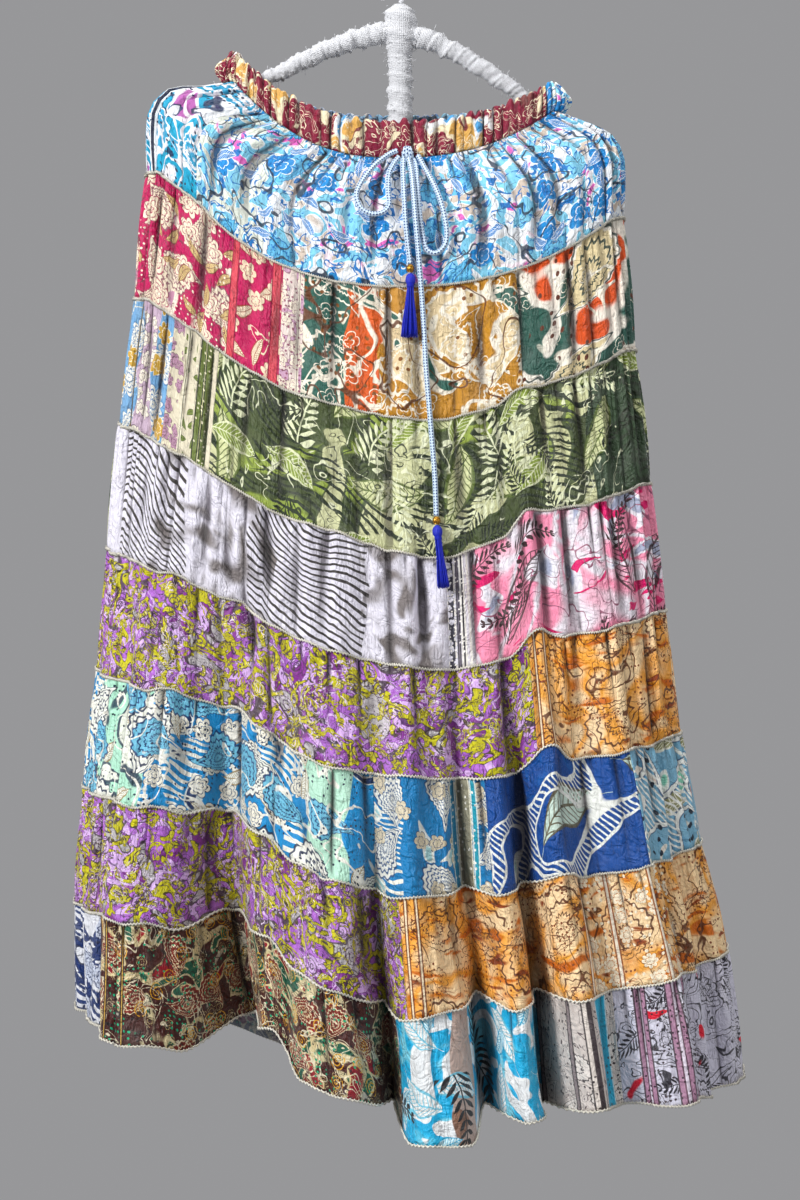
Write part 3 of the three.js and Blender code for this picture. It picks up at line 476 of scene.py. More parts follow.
        motif("dots", "#3a3034", size=6, zone=30),
    ]),
    "scroll_print": ("#d8d6e4", [
        motif("marble", None, "#1f1c25", size=30, bands=2, cover=0.3, swirl=0.7),
        motif("paisley", "#dedce8", "#1f1c25", size=46, rings=3, share=0.6),
        motif("bloom", None, "#1f1c25", size=26, petals=7, rings=2, share=0.3),
        motif("fern", "#24202a", size=40, share=0.3, seed=3),
        motif("marble", "#e0424f", size=60, cover=0.26, seed=9),
        motif("band", "#b088a0", "#3a2a34", edges=(20, 34)),
        motif("band", "#ddd3e0", "#5a3a4a", edges=(25, 29)),
        motif("band", "#b088a0", "#3a2a34", edges=(54, 70)),
        motif("band", "#ddd3e0", "#5a3a4a", edges=(60, 64)),
        motif("band", "#b088a0", "#3a2a34", edges=(92, 100)),
        motif("dots", "#3a2a34", size=5, span=(18, 104)),
    ]),
    "wine_paisley": ("#821233", [
        motif("marble", "#d8ab6a", "#f3e5c4", size=60, cover=0.5),
        motif("marble", "#eddfbe", "#6a1a2a", size=54, cover=0.3, seed=4),
        motif("area", "#d6a55e", span=(0, 26)),
        motif("bloom", None, "#f3e6ca", size=20, petals=6, rings=2, share=0.6),
        motif("marble", "#5f9fcf", "#f1f3f4", size=60, cover=0.34, seed=14),
        motif("marble", None, "#f3e6ca", size=20, bands=2, cover=0.24, seed=24, width=0.9),
    ]),
}

# ---- Hanger and drawstring routes, in millimetres ----
# Arms: across, up and radius. Neck: across, up and radius. Hook: across and up.
HOOK_WIRE = 2.2
HOOK_LINE = [
    (0, -50), (5, -44), (16, -36), (22, -23), (20, -9), (11, -0.4),
    (0, 2.2), (-12, -1), (-20, -9), (-22.5, -20), (-20, -31),
]
LEFT_ARM = [
    (6, -79, 12), (-20, -79, 11), (-50, -87, 9.5), (-80, -99, 9), (-108, -113, 8),
    (-132, -124, 6.5), (-156, -132.4, 5.5), (-186, -137.8, 5.5), (-214, -144.8, 5.5),
]
RIGHT_ARM = [
    (-6, -80, 12), (18, -82, 11), (44, -92, 9.5), (72, -108, 9), (98, -125, 8),
    (120, -141, 6.5), (142, -156.8, 5.5), (164, -168.8, 5.5), (184, -176.8, 5.5),
]
NECK = [
    (0, -52, 7), (0, -58, 15), (0, -72, 17), (0, -88, 15), (0, -98, 11.5),
    (0, -150, 12.5), (0, -215, 11.5), (0, -221, 7),
]
CORD_RADIUS = 2.4
CORD_SIDES = 16
CORD_STEP = 1.2
KNOT = {"centre": (7, -33.9, -197), "half_depth": 6, "half_height": 7}
# The cord's turns round the knot: lean, shift sideways and size. The knot's core: across and radius.
KNOT_TURNS = [(0.2, -2.6, 0.92), (-0.25, 2.6, 0.92), (0.0, 0.0, 1.0)]
KNOT_CORE = [(-5.6, 1.5), (-3, 3.4), (0, 3.8), (3, 3.4), (5.6, 1.5)]
LEFT_LOOP = [
    (-2.2, -34, -194.5), (-10, -34.6, -198), (-24, -42.5, -210), (-35, -51.5, -226), (-40, -57.5, -239),
    (-36.5, -60.5, -251), (-27, -61.5, -257), (-16.5, -60.5, -256), (-10.5, -57.5, -249), (-11, -52.5, -236),
    (-10.5, -45.5, -219), (-6, -39.5, -208), (-1.2, -35.5, -201),
]
RIGHT_LOOP = [
    (16.8, -35.4, -199.5), (22.5, -41.5, -211), (30.5, -50.5, -227), (37, -57.5, -244), (41, -61, -260),
    (43, -61.5, -276), (40.5, -62, -287), (32.5, -62.5, -293.5), (24, -62, -289.5), (20.5, -61, -276),
    (18, -59.5, -258), (16, -52, -234), (14.5, -42, -212), (12.5, -35.5, -203.3),
]
SHORT_TAIL = [
    (3.1, -37.5, -202.8), (2.8, -43.5, -216), (3.7, -52.5, -239), (5.5, -59.5, -270), (9.2, -61, -303.2),
]
LONG_TAIL = [
    (8, -38.3, -202.6), (10.5, -46, -216), (12.4, -57, -237), (14.4, -64.9, -264), (17, -65, -294),
    (20, -63, -333), (22, -66, -365), (23.7, -69.2, -398), (26.4, -72, -432), (29.2, -74.5, -466),
    (31.8, -77.2, -500), (33, -80.5, -534.6),
]
ENDS = [
    {"name": "short", "bead": (9.4, -61.6, -307.4), "head": (9.6, -62.6, -317.7), "tip": (8.5, -71, -371),
     "wide": 8.4, "deep": 5},
    {"name": "long", "bead": (33.2, -81, -538.8), "head": (34, -83.5, -549), "tip": (39.6, -92, -600),
     "wide": 5.6, "deep": 4.6},
]
TASSEL_HEAD = {"radius": 4.6, "half_height": 6.2}
TASSEL_THREADS = 84
TASSEL_THREAD_RADIUS = 0.42
# Radii of a bead's lobes, core and end rings, and how far the lobes and the rings lie from its middle.
BEAD = {
    "lobes": 8, "lobe": 1.75, "lobe_stretch": 1.75, "lobe_out": 1.9, "core": 2.9,
    "ring": 2.0, "ring_wire": 0.6, "ring_up": 2.95,
}
# Half the strands' crossings of the braid: how far they stand out, round the cord and along it.
PLAIT = {"height": 0.16, "round": 4, "along": 1.1}
SEAM_THREAD = 0.8
SEAM_SWAY = 1.1
GAUZE_SIDES = 28
FRAYS = 150
FRAY_RADIUS = 0.22

# ---- The stage, in metres and watts ----
STAGE_FLOOR = -1.32
STAGE_RADIUS = 7.2
STAGE_HEIGHT = 4.4
STAGE_SWEEP = 1.6
CAMERA_PLACE = (0, -2.4, -0.611)
CAMERA_LENS = 76.6
LIGHTS = [
    {"name": "key", "place": (-1.9, -1.9, 0.5), "aim": (0, 0, -0.6), "size": 0.7, "power": 86},
    {"name": "fill", "place": (1.9, -2.0, -0.2), "aim": (0, 0, -0.6), "size": 1.6, "power": 14},
    {"name": "top", "place": (0.2, -0.2, 1.3), "aim": (0, 0.1, -0.6), "size": 1.4, "power": 20},
    {"name": "back", "place": (0.6, 2.2, 0.4), "aim": (0, 0, -0.6), "size": 1.6, "power": 30},
]
ROOM_STRENGTH = 0.4

MM = 0.001


# ---- Settings ----
def colour_shares(colour):
    """An sRGB colour, as #rrggbb, in shares of red, green and blue."""
    return [int(colour[i:i + 2], 16) / 255 for i in (1, 3, 5)]


def colour_property(name, description, default):
    """A colour that a user can change, with its default as #rrggbb."""
    return bpy.props.FloatVectorProperty(
        name=name, description=description, subtype="COLOR_GAMMA", size=3, min=0, max=1,
        default=colour_shares(default),
    )


class SkirtSettings(bpy.types.PropertyGroup):
    """Sizes and colours of the skirt"""

    wall: bpy.props.FloatProperty(
        name="Cloth thickness", description="Thickness of the cloth", unit="LENGTH", default=0.0009,
        min=0.0003,
    )
    pucker_depth: bpy.props.FloatProperty(
        name="Pucker depth", description="Depth of the soft waves below each seam", unit="LENGTH",
        default=0.0016,
    )
    ripple_depth: bpy.props.FloatProperty(
        name="Ripple depth", description="Depth of the long soft folds between the seams", unit="LENGTH",
        default=0.0032,
    )
    columns: bpy.props.IntProperty(
        name="Columns", description="Columns of faces round the skirt", subtype="UNSIGNED",
        default=1320, min=200,
    )
    # Painted shade: how much the cloth's colour is darkened in its gathers.
    fold_shade: bpy.props.FloatProperty(
        name="Fold shade", description="How much darker the cloth is in its gathers", subtype="FACTOR",
        default=0.86, min=0, max=1,
    )
    seam_colour: colour_property("Seam thread", "Pale overlock thread", "#f7f2e3")
    cord_light: colour_property("Cord", "Light yarn of the braid", "#cce0f2")
    cord_blue: colour_property("Cord blue", "Blue yarn of the braid", "#1f4080")
    tassel_colour: colour_property("Tassel", "Silky tassel thread", "#0521c7")
    bead_colour: colour_property("Bead", "Gilt bead", "#cc9438")
    gauze_colour: colour_property("Gauze", "Cotton strip wound on the hanger", "#e6e7eb")
    backdrop_colour: colour_property("Backdrop", "Pale studio backdrop", "#dedee2")
    room_colour: colour_property("Room light", "Pale light from all round", "#e4e4e7")


# ---- Colours and nodes ----
def to_linear(colour):
    """An sRGB colour, as #rrggbb or three shares, made linear."""
    if isinstance(colour, str):
        colour = colour_shares(colour)
    return [c / 12.92 if c <= 0.04045 else ((c + 0.055) / 1.055) ** 2.4 for c in colour]


def per_metre(size):
    """How many marks of a size in millimetres go in a metre."""
    return 1 / (size * MM)


def add_node(tree, kind, inputs=None, **settings):
    """A node of any kind. inputs are links or constants by socket name or number."""
    made = tree.nodes.new(kind)
    for name, value in settings.items():
        setattr(made, name, value)
    for key, value in (inputs or {}).items():
        if isinstance(value, Field):
            value = value.socket
        if isinstance(value, bpy.types.NodeSocket):
            tree.links.new(value, made.inputs[key])
        else:
            made.inputs[key].default_value = value
    return made


class Field:
    """A number that varies over the cloth: sums and products of fields become math nodes."""

    def __init__(self, tree, socket):
        self.tree = tree
        self.socket = socket

    def math(self, operation, *others):
        """This field worked on, with the others if there are any, by one of the math node's operations."""
        inputs = dict(enumerate([self, *others]))
        made = add_node(self.tree, "ShaderNodeMath", inputs, operation=operation)
        return Field(self.tree, made.outputs[0])

    def __add__(self, other):
        return self.math("ADD", other)

    def __sub__(self, other):
        return self.math("SUBTRACT", other)

    def __mul__(self, other):
        return self.math("MULTIPLY", other)

    def __truediv__(self, other):
        return self.math("DIVIDE", other)

    def __pow__(self, other):
        return self.math("POWER", other)

    def smooth(self, low, high):
        """0 below low and 1 above high, with a soft step; the other way round where low is the greater."""
        made = add_node(
            self.tree,
            "ShaderNodeMapRange",
            {"Value": self, "From Min": low, "From Max": high, "To Min": 0.0, "To Max": 1.0},
            interpolation_type="SMOOTHSTEP",
        )
        return Field(self.tree, made.outputs["Result"])


def place_at(tree, x, y):
    """A place on the cloth, for a pattern to be read at."""
    return add_node(tree, "ShaderNodeCombineXYZ", {"X": x, "Y": y}).outputs[0]


def across_and_down(tree, vector):
    """The first two numbers of a place, as fields."""
    parts = add_node(tree, "ShaderNodeSeparateXYZ", {0: vector})
    return Field(tree, parts.outputs[0]), Field(tree, parts.outputs[1])


def printed_over(tree, share, under, over, blend="MIX"):
    """One colour printed over another, where the share is 1."""
    if isinstance(share, Field):
        share = share.socket
    made = add_node(tree, "ShaderNodeMix", data_type="RGBA", blend_type=blend)
    for socket, value in zip((made.inputs[0], made.inputs[6], made.inputs[7]), (share, under, over)):
        if isinstance(value, bpy.types.NodeSocket):
            tree.links.new(value, socket)
        elif isinstance(value, (int, float)):
            socket.default_value = value
        else:
            socket.default_value = (*value, 1)
    return made.outputs[2]


def blotches(tree, vector, scale, detail=2.0, rough=0.5, distortion=0.0):
    """Soft uneven blotches about 0.5. scale: how many go in one unit of the place."""
    made = add_node(
        tree,
        "ShaderNodeTexNoise",
        {"Vector": vector, "Scale": scale, "Detail": detail, "Roughness": rough, "Distortion": distortion},
        noise_dimensions="3D",
    )
    return Field(tree, made.outputs["Fac"])


# ---- Motifs: each returns a fill and a line, 0 to 1, over the cloth ----
def cells(tree, x, y, layer):
    """The cloth cut into cells of the motif's size: a place in its cell, turned at random, and a chance."""
    size = layer["size"] * MM
    seed = layer.get("seed", 0) * 3.7 + layer["size"] * 0.13
    vector = place_at(tree, x / size + seed, y / size + seed * 0.7)
    voronoi = add_node(
        tree,
        "ShaderNodeTexVoronoi",
        {"Vector": vector, "Scale": 1.0, "Randomness": 0.55},
        voronoi_dimensions="2D",
    )
    from_middle = {0: vector, 1: voronoi.outputs["Position"]}
    away = add_node(tree, "ShaderNodeVectorMath", from_middle, operation="SUBTRACT")
    local_x, local_y = across_and_down(tree, away.outputs[0])
    chance, other = across_and_down(tree, voronoi.outputs["Color"])
    angle = chance * (2 * math.pi)
    cos, sin = angle.math("COSINE"), angle.math("SINE")
    turned_x = local_x * cos - local_y * sin
    turned_y = local_x * sin + local_y * cos
    return turned_x, turned_y, other


def shown(layer, other, *parts):
    """The motif's parts, left out of some of the cells."""
    if "share" not in layer:
        return parts
    kept = other.math("LESS_THAN", layer["share"])
    return tuple(part * kept for part in parts)


def ring_lines(metric, rings, width=0.045):
    """The inside of an outline at 1, and lines round and inside it."""
    inside = metric.smooth(1.02, 0.98)
    away = ((metric * rings).math("FRACT") - 0.5).math("ABSOLUTE")
    lines = away.smooth(0.5 - width * rings, 0.5 - width * rings / 2)
    return inside, lines * metric.smooth(1.08, 1.04)


def bloom(tree, x, y, layer):
    """A flower: round petals about a centre, with rings."""
    px, py, other = cells(tree, x, y, layer)
    radius = (px * px + py * py) ** 0.5
    half_turn = py.math("ARCTAN2", px) * (layer["petals"] / 2)
    petals = half_turn.math("COSINE").math("ABSOLUTE") ** 0.55 * 0.17 + 0.24
    width = 0.055 * layer.get("width", 1)
    return shown(layer, other, *ring_lines(radius / petals, layer["rings"], width))


def paisley(tree, x, y, layer):
    """A drop with a curled tip, filled with drops inside each other."""
    px, py, other = cells(tree, x, y, layer)
    along = py / 0.44
    bent = px - along.math("MAXIMUM", 0.0) ** 2.0 * 0.24
    width = (along * -0.52 + 0.72).math("MAXIMUM", 0.08) * 0.36
    metric = ((bent / width) ** 2.0 + along * along) ** 0.5
    frill = (py.math("ARCTAN2", px) * 20.0).math("COSINE") * 0.04
    return shown(layer, other, *ring_lines(metric + frill, layer["rings"], 0.045 * layer.get("width", 1)))


def leaf(tree, x, y, layer):
    """A pointed leaf with a midrib and side veins."""
    px, py, other = cells(tree, x, y, layer)
    along = py / 0.47
    bent = px - along * along * 0.1 + 0.03
    width = (along * along * -1.0 + 1.0).math("MAXIMUM", 0.02) * 0.17
    side = bent.math("ABSOLUTE")
    metric = side / width
    inside = metric.smooth(1.04, 0.96)
    outline = (metric - 1.0).math("ABSOLUTE").smooth(0.16, 0.08)
    veins = (py * 90.0 - side * 80.0).math("SINE").smooth(0.6, 0.9) * metric.smooth(0.92, 0.85)
    rib = side.smooth(0.014, 0.008) * inside
    lines = outline.math("MAXIMUM", veins).math("MAXIMUM", rib) * along.math("ABSOLUTE").smooth(1.05, 0.98)
    return shown(layer, other, inside, lines)


def fern(tree, x, y, layer):
    """A bent stem with pairs of small leaves."""
    px, py, other = cells(tree, x, y, layer)
    along = py / 0.47
    side = (px - along * along * 0.14 + 0.05).math("ABSOLUTE")
    width = (along * -0.42 + 0.6).math("MAXIMUM", 0.02) * 0.3
    place = side / width
    leaflet = ((py * 9.0 - side * 7.0).math("FRACT") - 0.5).math("ABSOLUTE")
    swell = (place * math.pi).math("SINE").math("MAXIMUM", 0.0) * 0.34
    leaves = (swell - leaflet).smooth(0.0, 0.06) * place.smooth(1.0, 0.96)
    stem = side.smooth(0.014, 0.008)
    inside = leaves.math("MAXIMUM", stem) * along.math("ABSOLUTE").smooth(1.0, 0.97)
    return shown(layer, other, inside, inside)


def spiral(tree, x, y, layer):
    """A scroll: a line wound round a centre."""
    px, py, other = cells(tree, x, y, layer)
    radius = (px * px + py * py) ** 0.5
    turn = py.math("ARCTAN2", px) / (2 * math.pi)
    arms = ((radius * 5.5 + turn).math("FRACT") - 0.5).math("ABSOLUTE").smooth(0.17, 0.1)
    inside = radius.smooth(0.46, 0.44)
    return shown(layer, other, inside, arms * inside)


def marble(tree, x, y, layer):
    """Free islands with outlines. soft blurs their edges, swirl curls them, stretch draws them sideways."""
    size = layer["size"] * MM
    seed = layer.get("seed", 1) * 5.3
    vector = place_at(tree, x / (size * layer.get("stretch", 1)) + seed, y / size + seed)
    value = blotches(tree, vector, 1.0, 1.8, 0.5, layer.get("swirl", 1.1))
    folded = (value * float(layer.get("bands", 1) * 2)).math("FRACT")
    away = (folded - 0.5).math("ABSOLUTE")
    edge = layer["cover"] / 2
    soft = layer.get("soft", 0.015)
    width = 0.03 * layer.get("width", 1)
    outline = (away - edge).math("ABSOLUTE").smooth(width * 1.4, width * 0.7)
    return away.smooth(edge + soft, edge - soft), outline


def wave(tree, x, y, layer):
    """Uneven wavy stripes. bend is how far they swing."""
    size, bend = layer["size"] * MM, layer["bend"] * MM
    swing = blotches(tree, place_at(tree, x, y), 0.55 / bend, 1.0, 0.4, 0.2)
    value = (y * 0.9 + x * 0.35 + (swing - 0.5) * (bend * 1.5)) / size
    lines = (value * (2 * math.pi)).math("SINE")
    edge = math.cos(math.pi * layer["cover"] * 1.6)
    fill = lines.smooth(edge - 0.12, edge + 0.12)
    return fill, fill


def ladder(tree, x, y, layer):
    """Winding chains: two rails with rungs between them."""
    size = layer["size"] * MM
    vector = place_at(tree, x / size + 4.0, y / size + 1.0)
    away = (blotches(tree, vector, 1.0, 0.0, 0.4, 0.3) - 0.5).math("ABSOLUTE")
    rail = 0.006 * layer.get("rail", 1)
    rungs = ((x + y) / 0.0068).math("FRACT").smooth(0.4, 0.34) * away.smooth(0.034, 0.032)
    rails = (away - 0.034).math("ABSOLUTE").smooth(rail * 1.3, rail * 0.8)
    fill = rungs.math("MAXIMUM", rails)
    return fill, fill


def stripe(tree, x, y, layer):
    """An upright band of the cloth, edged on both sides."""
    size = layer["size"]
    place = (x / (size * MM)).math("FRACT")
    low, high = layer["low"], layer["high"]
    middle, half = (low + high) / 2, (high - low) / 2
    away = (place - middle).math("ABSOLUTE") - half
    return away.smooth(0.004, -0.004), away.math("ABSOLUTE").smooth(1.3 / size, 0.8 / size)


def band(tree, x, y, layer):
    """One upright band at a fixed distance from the patch's left edge, edged on both sides."""
    low, high = layer["edges"]
    middle, half = (high + low) / 2 * MM, (high - low) / 2 * MM
    away = (x - middle).math("ABSOLUTE") - half
    return away.smooth(0.0003, -0.0003), away.math("ABSOLUTE").smooth(0.0009, 0.0005)


def area(tree, x, y, layer):
    """Plain colour all over the layer's span."""
    whole = (x * 0.0) + 1.0
    return whole, whole


def dots(tree, x, y, layer):
    """Small spots."""
    px, py, other = cells(tree, x, y, layer)
    inside = (px * px + py * py).smooth(0.05, 0.035) * other.smooth(0.45, 0.5)
    return inside, inside


MOTIFS = {
    "bloom": bloom,
    "paisley": paisley,
    "leaf": leaf,
    "fern": fern,
    "spiral": spiral,
    "marble": marble,
    "wave": wave,
    "ladder": ladder,
    "stripe": stripe,
    "band": band,
    "area": area,
    "dots": dots,
}
STRAIGHT = ("stripe", "band")


def new_material(name):
    """A material, its nodes and its shader."""
    material = bpy.data.materials.new(name)
    material.use_nodes = True
    tree = material.node_tree
    return material, tree, tree.nodes["Principled BSDF"]


def place_share(tree, uv, x, layer):
    """Where a layer shows: between two uneven upright edges, and in areas with bare ones between them."""
    shares = []
    if "span" in layer:
        low, high = (value * MM for value in layer["span"])
        ragged = x + (blotches(tree, uv, per_metre(62.5), 1.0) - 0.5) * 0.036
        shares.append(ragged.smooth(low - 0.0006, low + 0.0006) if low > 0 else None)
        shares.append(ragged.smooth(high + 0.0006, high - 0.0006))
    if "zone" in layer:
        shift = add_node(tree, "ShaderNodeVectorMath", {0: uv, 1: (layer["size"] * 0.31, 0.7, 0)})
        shares.append(blotches(tree, shift.outputs[0], per_metre(layer["zone"]), 1.0).smooth(0.49, 0.51))
    return [share for share in shares if share]


def printed_colour(tree, uv, x, y, name):
    """The print: motifs in layers on the ground colour, a little warped as the cloth stretches."""
    ground, layers = PRINTS[name]
    px = x + (blotches(tree, uv, per_metre(33.33), 2.0, 0.5) - 0.5) * 0.011
    py = y + (blotches(tree, uv, per_metre(40), 2.0, 0.5, 0.4) - 0.5) * 0.011
    made = add_node(tree, "ShaderNodeRGB")
    made.outputs[0].default_value = (*to_linear(ground), 1)
    colour = made.outputs[0]
    for layer in layers:
        place = (x, y) if layer["kind"] in STRAIGHT else (px, py)
        fill, line = MOTIFS[layer["kind"]](tree, *place, layer)
        for share in place_share(tree, uv, x, layer):
            fill, line = fill * share, line * share
        if layer["fill"]:
            colour = printed_over(tree, fill, colour, to_linear(layer["fill"]))
        if layer["line"]:
            colour = printed_over(tree, line * 0.94, colour, to_linear(layer["line"]))
    return colour


def printed_satin(settings, name):
    """Satin woven from fine yarn and printed on one side: a soft sheen, worn pale in places, crumpled, with
    painted shade in its gathers and creases.
    """
    if f"printed_satin_{name}" in bpy.data.materials:
        return bpy.data.materials[f"printed_satin_{name}"]
    material, tree, surface = new_material(f"printed_satin_{name}")
    uv = add_node(tree, "ShaderNodeUVMap", uv_map="cloth").outputs[0]
    x, y = across_and_down(tree, uv)
    colour = printed_colour(tree, uv, x, y, name)
    # Wear bleaches the print a little, in patches of about 4 cm.
    worn = blotches(tree, uv, per_metre(38.46), 4.0, 0.6)
    colour = printed_over(tree, worn.smooth(0.45, 0.75) * 0.06, colour, to_linear("#f6f3ee"))
    rich = add_node(tree, "ShaderNodeHueSaturation", {"Color": colour, "Saturation": 1.12, "Value": 1.06})
    # The wrong side shows the print through the weave, greyer and paler.
    wrong = Field(tree, add_node(tree, "ShaderNodeAttribute", attribute_name="wrong").outputs["Fac"])
    colour = printed_over(tree, wrong * 0.62, rich.outputs[0], to_linear("#8d9aa8"))
    # Painted shade: the colour is darkened where the cloth dips into a gather, for the little light that
    # gets down there.
    dip = Field(tree, add_node(tree, "ShaderNodeAttribute", attribute_name="dip").outputs["Fac"])
    shade = dip.smooth(0.06, 0.95) * settings.fold_shade
    colour = printed_over(tree, shade, colour, to_linear("#3c3038"), "MULTIPLY")
    # Crumples: upright ones about 7 mm apart and 30 mm long, and slanting ones about 15 mm across.
    upright_place = place_at(tree, x * per_metre(6.667), y * per_metre(29.41))
    upright = (blotches(tree, upright_place, 1.0, 3.0, 0.6, 0.5) - 0.5).math("ABSOLUTE")
    slant_place = place_at(tree, x * per_metre(16.667) + y * per_metre(40), y * per_metre(14.286))
    slanting = (blotches(tree, slant_place, 1.0, 2.0, 0.5, 1.2) - 0.5).math("ABSOLUTE")
    # Painted shade: darker lines along the troughs of the upright crumples, in patches about 4.5 cm across.
    painted_crease_shade = upright.smooth(0.02, 0.0) * blotches(tree, uv, per_metre(45.45), 1.0).smooth(0.45, 0.6)
    colour = printed_over(tree, painted_crease_shade * 0.5, colour, to_linear("#54464e"), "MULTIPLY")
    tree.links.new(colour, surface.inputs["Base Color"])
    # Yarns 0.7 mm apart, which is coarser than real satin.
    yarn = 2 * math.pi * per_metre(0.7)
    weave = (x * yarn).math("SINE") * (y * yarn).math("SINE") * 0.02
    height = upright * 1.6 + slanting * 2.0 + weave
    bump = add_node(tree, "ShaderNodeBump", {"Height": height, "Strength": 0.9, "Distance": 0.0042})
    tree.links.new(bump.outputs[0], surface.inputs["Normal"])
    rough = worn * 0.2 + 0.28
    tree.links.new(rough.socket, surface.inputs["Roughness"])
    surface.inputs["Specular IOR Level"].default_value = 0.5
    surface.inputs["Sheen Weight"].default_value = 0.05
    surface.inputs["Sheen Roughness"].default_value = 0.4
    return material


def thread_material(name, colour, roughness, spacing, relief, second=None):
    """Twisted yarn: slanting lines at a spacing and with a relief in millimetres, and two tones."""
    material, tree, surface = new_material(name)
    uv = add_node(tree, "ShaderNodeUVMap", uv_map="cloth").outputs[0]
    x, y = across_and_down(tree, uv)
    beat = 2 * math.pi * per_metre(spacing)
    twill = ((x + y) * beat).math("SINE") * ((x - y) * beat).math("SINE")
    grain = blotches(tree, uv, beat * 0.4, 3.0, 0.6)
    share = twill.smooth(0.42, 0.3) if second else grain.smooth(0.3, 0.7)
    under = second or [c * 0.82 for c in colour]
    shade = printed_over(tree, share, to_linear(under), to_linear(colour))
    tree.links.new(shade, surface.inputs["Base Color"])
    height = twill * 0.5 + grain
    bump = add_node(tree, "ShaderNodeBump", {"Height": height, "Strength": 0.7, "Distance": relief * MM})
    tree.links.new(bump.outputs[0], surface.inputs["Normal"])
    surface.inputs["Roughness"].default_value = roughness
    return material


def gilt_material(settings):
    """Cast gilt brass, rubbed by handling: bright in spots of about a millimetre and dull between them."""
    material, tree, surface = new_material("rubbed_gilt_brass")
    place = add_node(tree, "ShaderNodeTexCoord").outputs["Object"]
    worn = blotches(tree, place, per_metre(1.111), 3.0, 0.6)
    dark = [c * 0.6 for c in settings.bead_colour]
    colour = printed_over(tree, worn.smooth(0.35, 0.6), to_linear(dark), to_linear(settings.bead_colour))
    tree.links.new(colour, surface.inputs["Base Color"])
    rough = worn * 0.3 + 0.15
    tree.links.new(rough.socket, surface.inputs["Roughness"])
    surface.inputs["Metallic"].default_value = 1.0
    return material


# ---- The cloth's surface ----
def signed_power(value, power):
    """A power that keeps the sign."""
    return np.sign(value) * np.abs(value) ** power


def round_gap(a, b):
    """How far apart two places on a ring are, as a share of the way round."""
    gap = np.abs(a - b) % 1
    return np.minimum(gap, 1 - gap)


def waist_height(turn):
    """Height of the waist seam: it sags between the hanger's ends, and less at the back."""
    across = np.cos(2 * np.pi * turn)
    end = np.where(across > 0, WAIST["left"], WAIST["right"])
    back = np.where(turn > 0.5, WAIST["back_rise"] * np.sin(2 * np.pi * turn) ** 2, 0)
    share = np.minimum(1, np.abs(across) / WAIST_END) ** WAIST_SAG
    return WAIST["front"] + (end - WAIST["front"]) * share + back * (1 - share)


def fold_reach(turn, level):
    """How far the main folds stand out at one level."""
    total = np.zeros_like(turn)
    for fold in FOLDS:
        away = round_gap(turn, fold["at"]) / fold["width"]
        if level > fold["start"]:
            grown = ((level - fold["start"]) / (TIERS - fold["start"])) ** FOLD_GROWTH
            swell = np.cos(np.minimum(away, 1) * np.pi / 2) ** 2
            total += np.where(away < 1, fold["reach"] * grown * swell, 0)
    return total


def rise_at(turn, level):
    """How far the cloth is drawn up: eased between the table's stations, and even between its rings."""
    at = np.array([row["at"] for row in RISES])
    left = np.clip(np.searchsorted(at, turn, side="right") - 1, 0, len(at) - 2)
    share = (turn - at[left]) / (at[left + 1] - at[left])
    eased = share * share * (3 - 2 * share)
    rings = [np.zeros_like(turn)]
    for key in ("ring3", "ring5", "ring7", "hem"):
        rise = np.array([row[key] for row in RISES])
        rings.append(rise[left] + (rise[left + 1] - rise[left]) * eased)
    levels = [1, 3, 5, 7, TIERS]
    if level <= 1:
        return rings[0]
    upper = max(i for i, other in enumerate(levels[:-1]) if other < level)
    down = (level - levels[upper]) / (levels[upper + 1] - levels[upper])
    return rings[upper] + (rings[upper + 1] - rings[upper]) * down


def plan_points(turn, level):
    """Places seen from above, and the way the cloth faces there."""
    tier = max(1, math.ceil(level))
    down = level - tier + 1
    share = down if tier > 1 else float(np.interp(down, SHOULDER_DOWN, SHOULDER_OUT))
    upper, lower = RINGS[tier - 1], RINGS[tier]
    half_width, middle, half_depth = (
        upper[key] + (lower[key] - upper[key]) * share for key in ("half_width", "middle", "half_depth")
    )
    across, forward = np.cos(2 * np.pi * turn), np.sin(2 * np.pi * turn)
    facing = np.stack([-across * half_depth, -forward * half_width], 1)
    facing /= np.linalg.norm(facing, axis=1)[:, None]
    place = np.stack([middle - half_width * across, -half_depth * signed_power(forward, FLATNESS)], 1)
    return place + facing * fold_reach(turn, level)[:, None], facing


def rows_of(tier):
    """The main rows of a tier: more of them over the shoulder."""
    return SHOULDER_DOWN if tier == 1 else TIER_ROWS


def cloth_rows(turn):
    """The cloth's middle surface at its main rows: levels, and points of shape (rows, columns, 3)."""
    z = waist_height(turn)
    last, _ = plan_points(turn, 0)
    levels, points = [0.0], [np.column_stack([last, z])]
    for tier in range(1, TIERS + 1):
        rows = rows_of(tier)
        for above, below in zip(rows, rows[1:]):
            place, _ = plan_points(turn, tier - 1 + below)
            length = RINGS[tier]["fall"] * (below - above)
            slant = np.linalg.norm(place - last, axis=1)
            z = z - np.sqrt(np.maximum(length ** 2 - slant ** 2, (LEAST_DROP * length) ** 2))
            levels.append(tier - 1 + below)
            points.append(np.column_stack([place, z + rise_at(turn, tier - 1 + below)]))
            last = place
    return np.array(levels), np.array(points)


def refined(levels, points, wanted):
    """Points at the wanted levels, on soft curves down each column."""
    slopes = np.diff(points, axis=0) / np.diff(levels)[:, None, None]
    tangents = np.concatenate([slopes[:1], (slopes[1:] + slopes[:-1]) / 2, slopes[-1:]])
    found = []
    for level in wanted:
        i = min(max(np.searchsorted(levels, level, side="right") - 1, 0), len(levels) - 2)
        span = levels[i + 1] - levels[i]
        t = (level - levels[i]) / span
        found.append(
            (2 * t ** 3 - 3 * t ** 2 + 1) * points[i]
            + (t ** 3 - 2 * t ** 2 + t) * span * tangents[i]
            + (-2 * t ** 3 + 3 * t ** 2) * points[i + 1]
            + (t ** 3 - t ** 2) * span * tangents[i + 1]
        )
    return np.array(found)


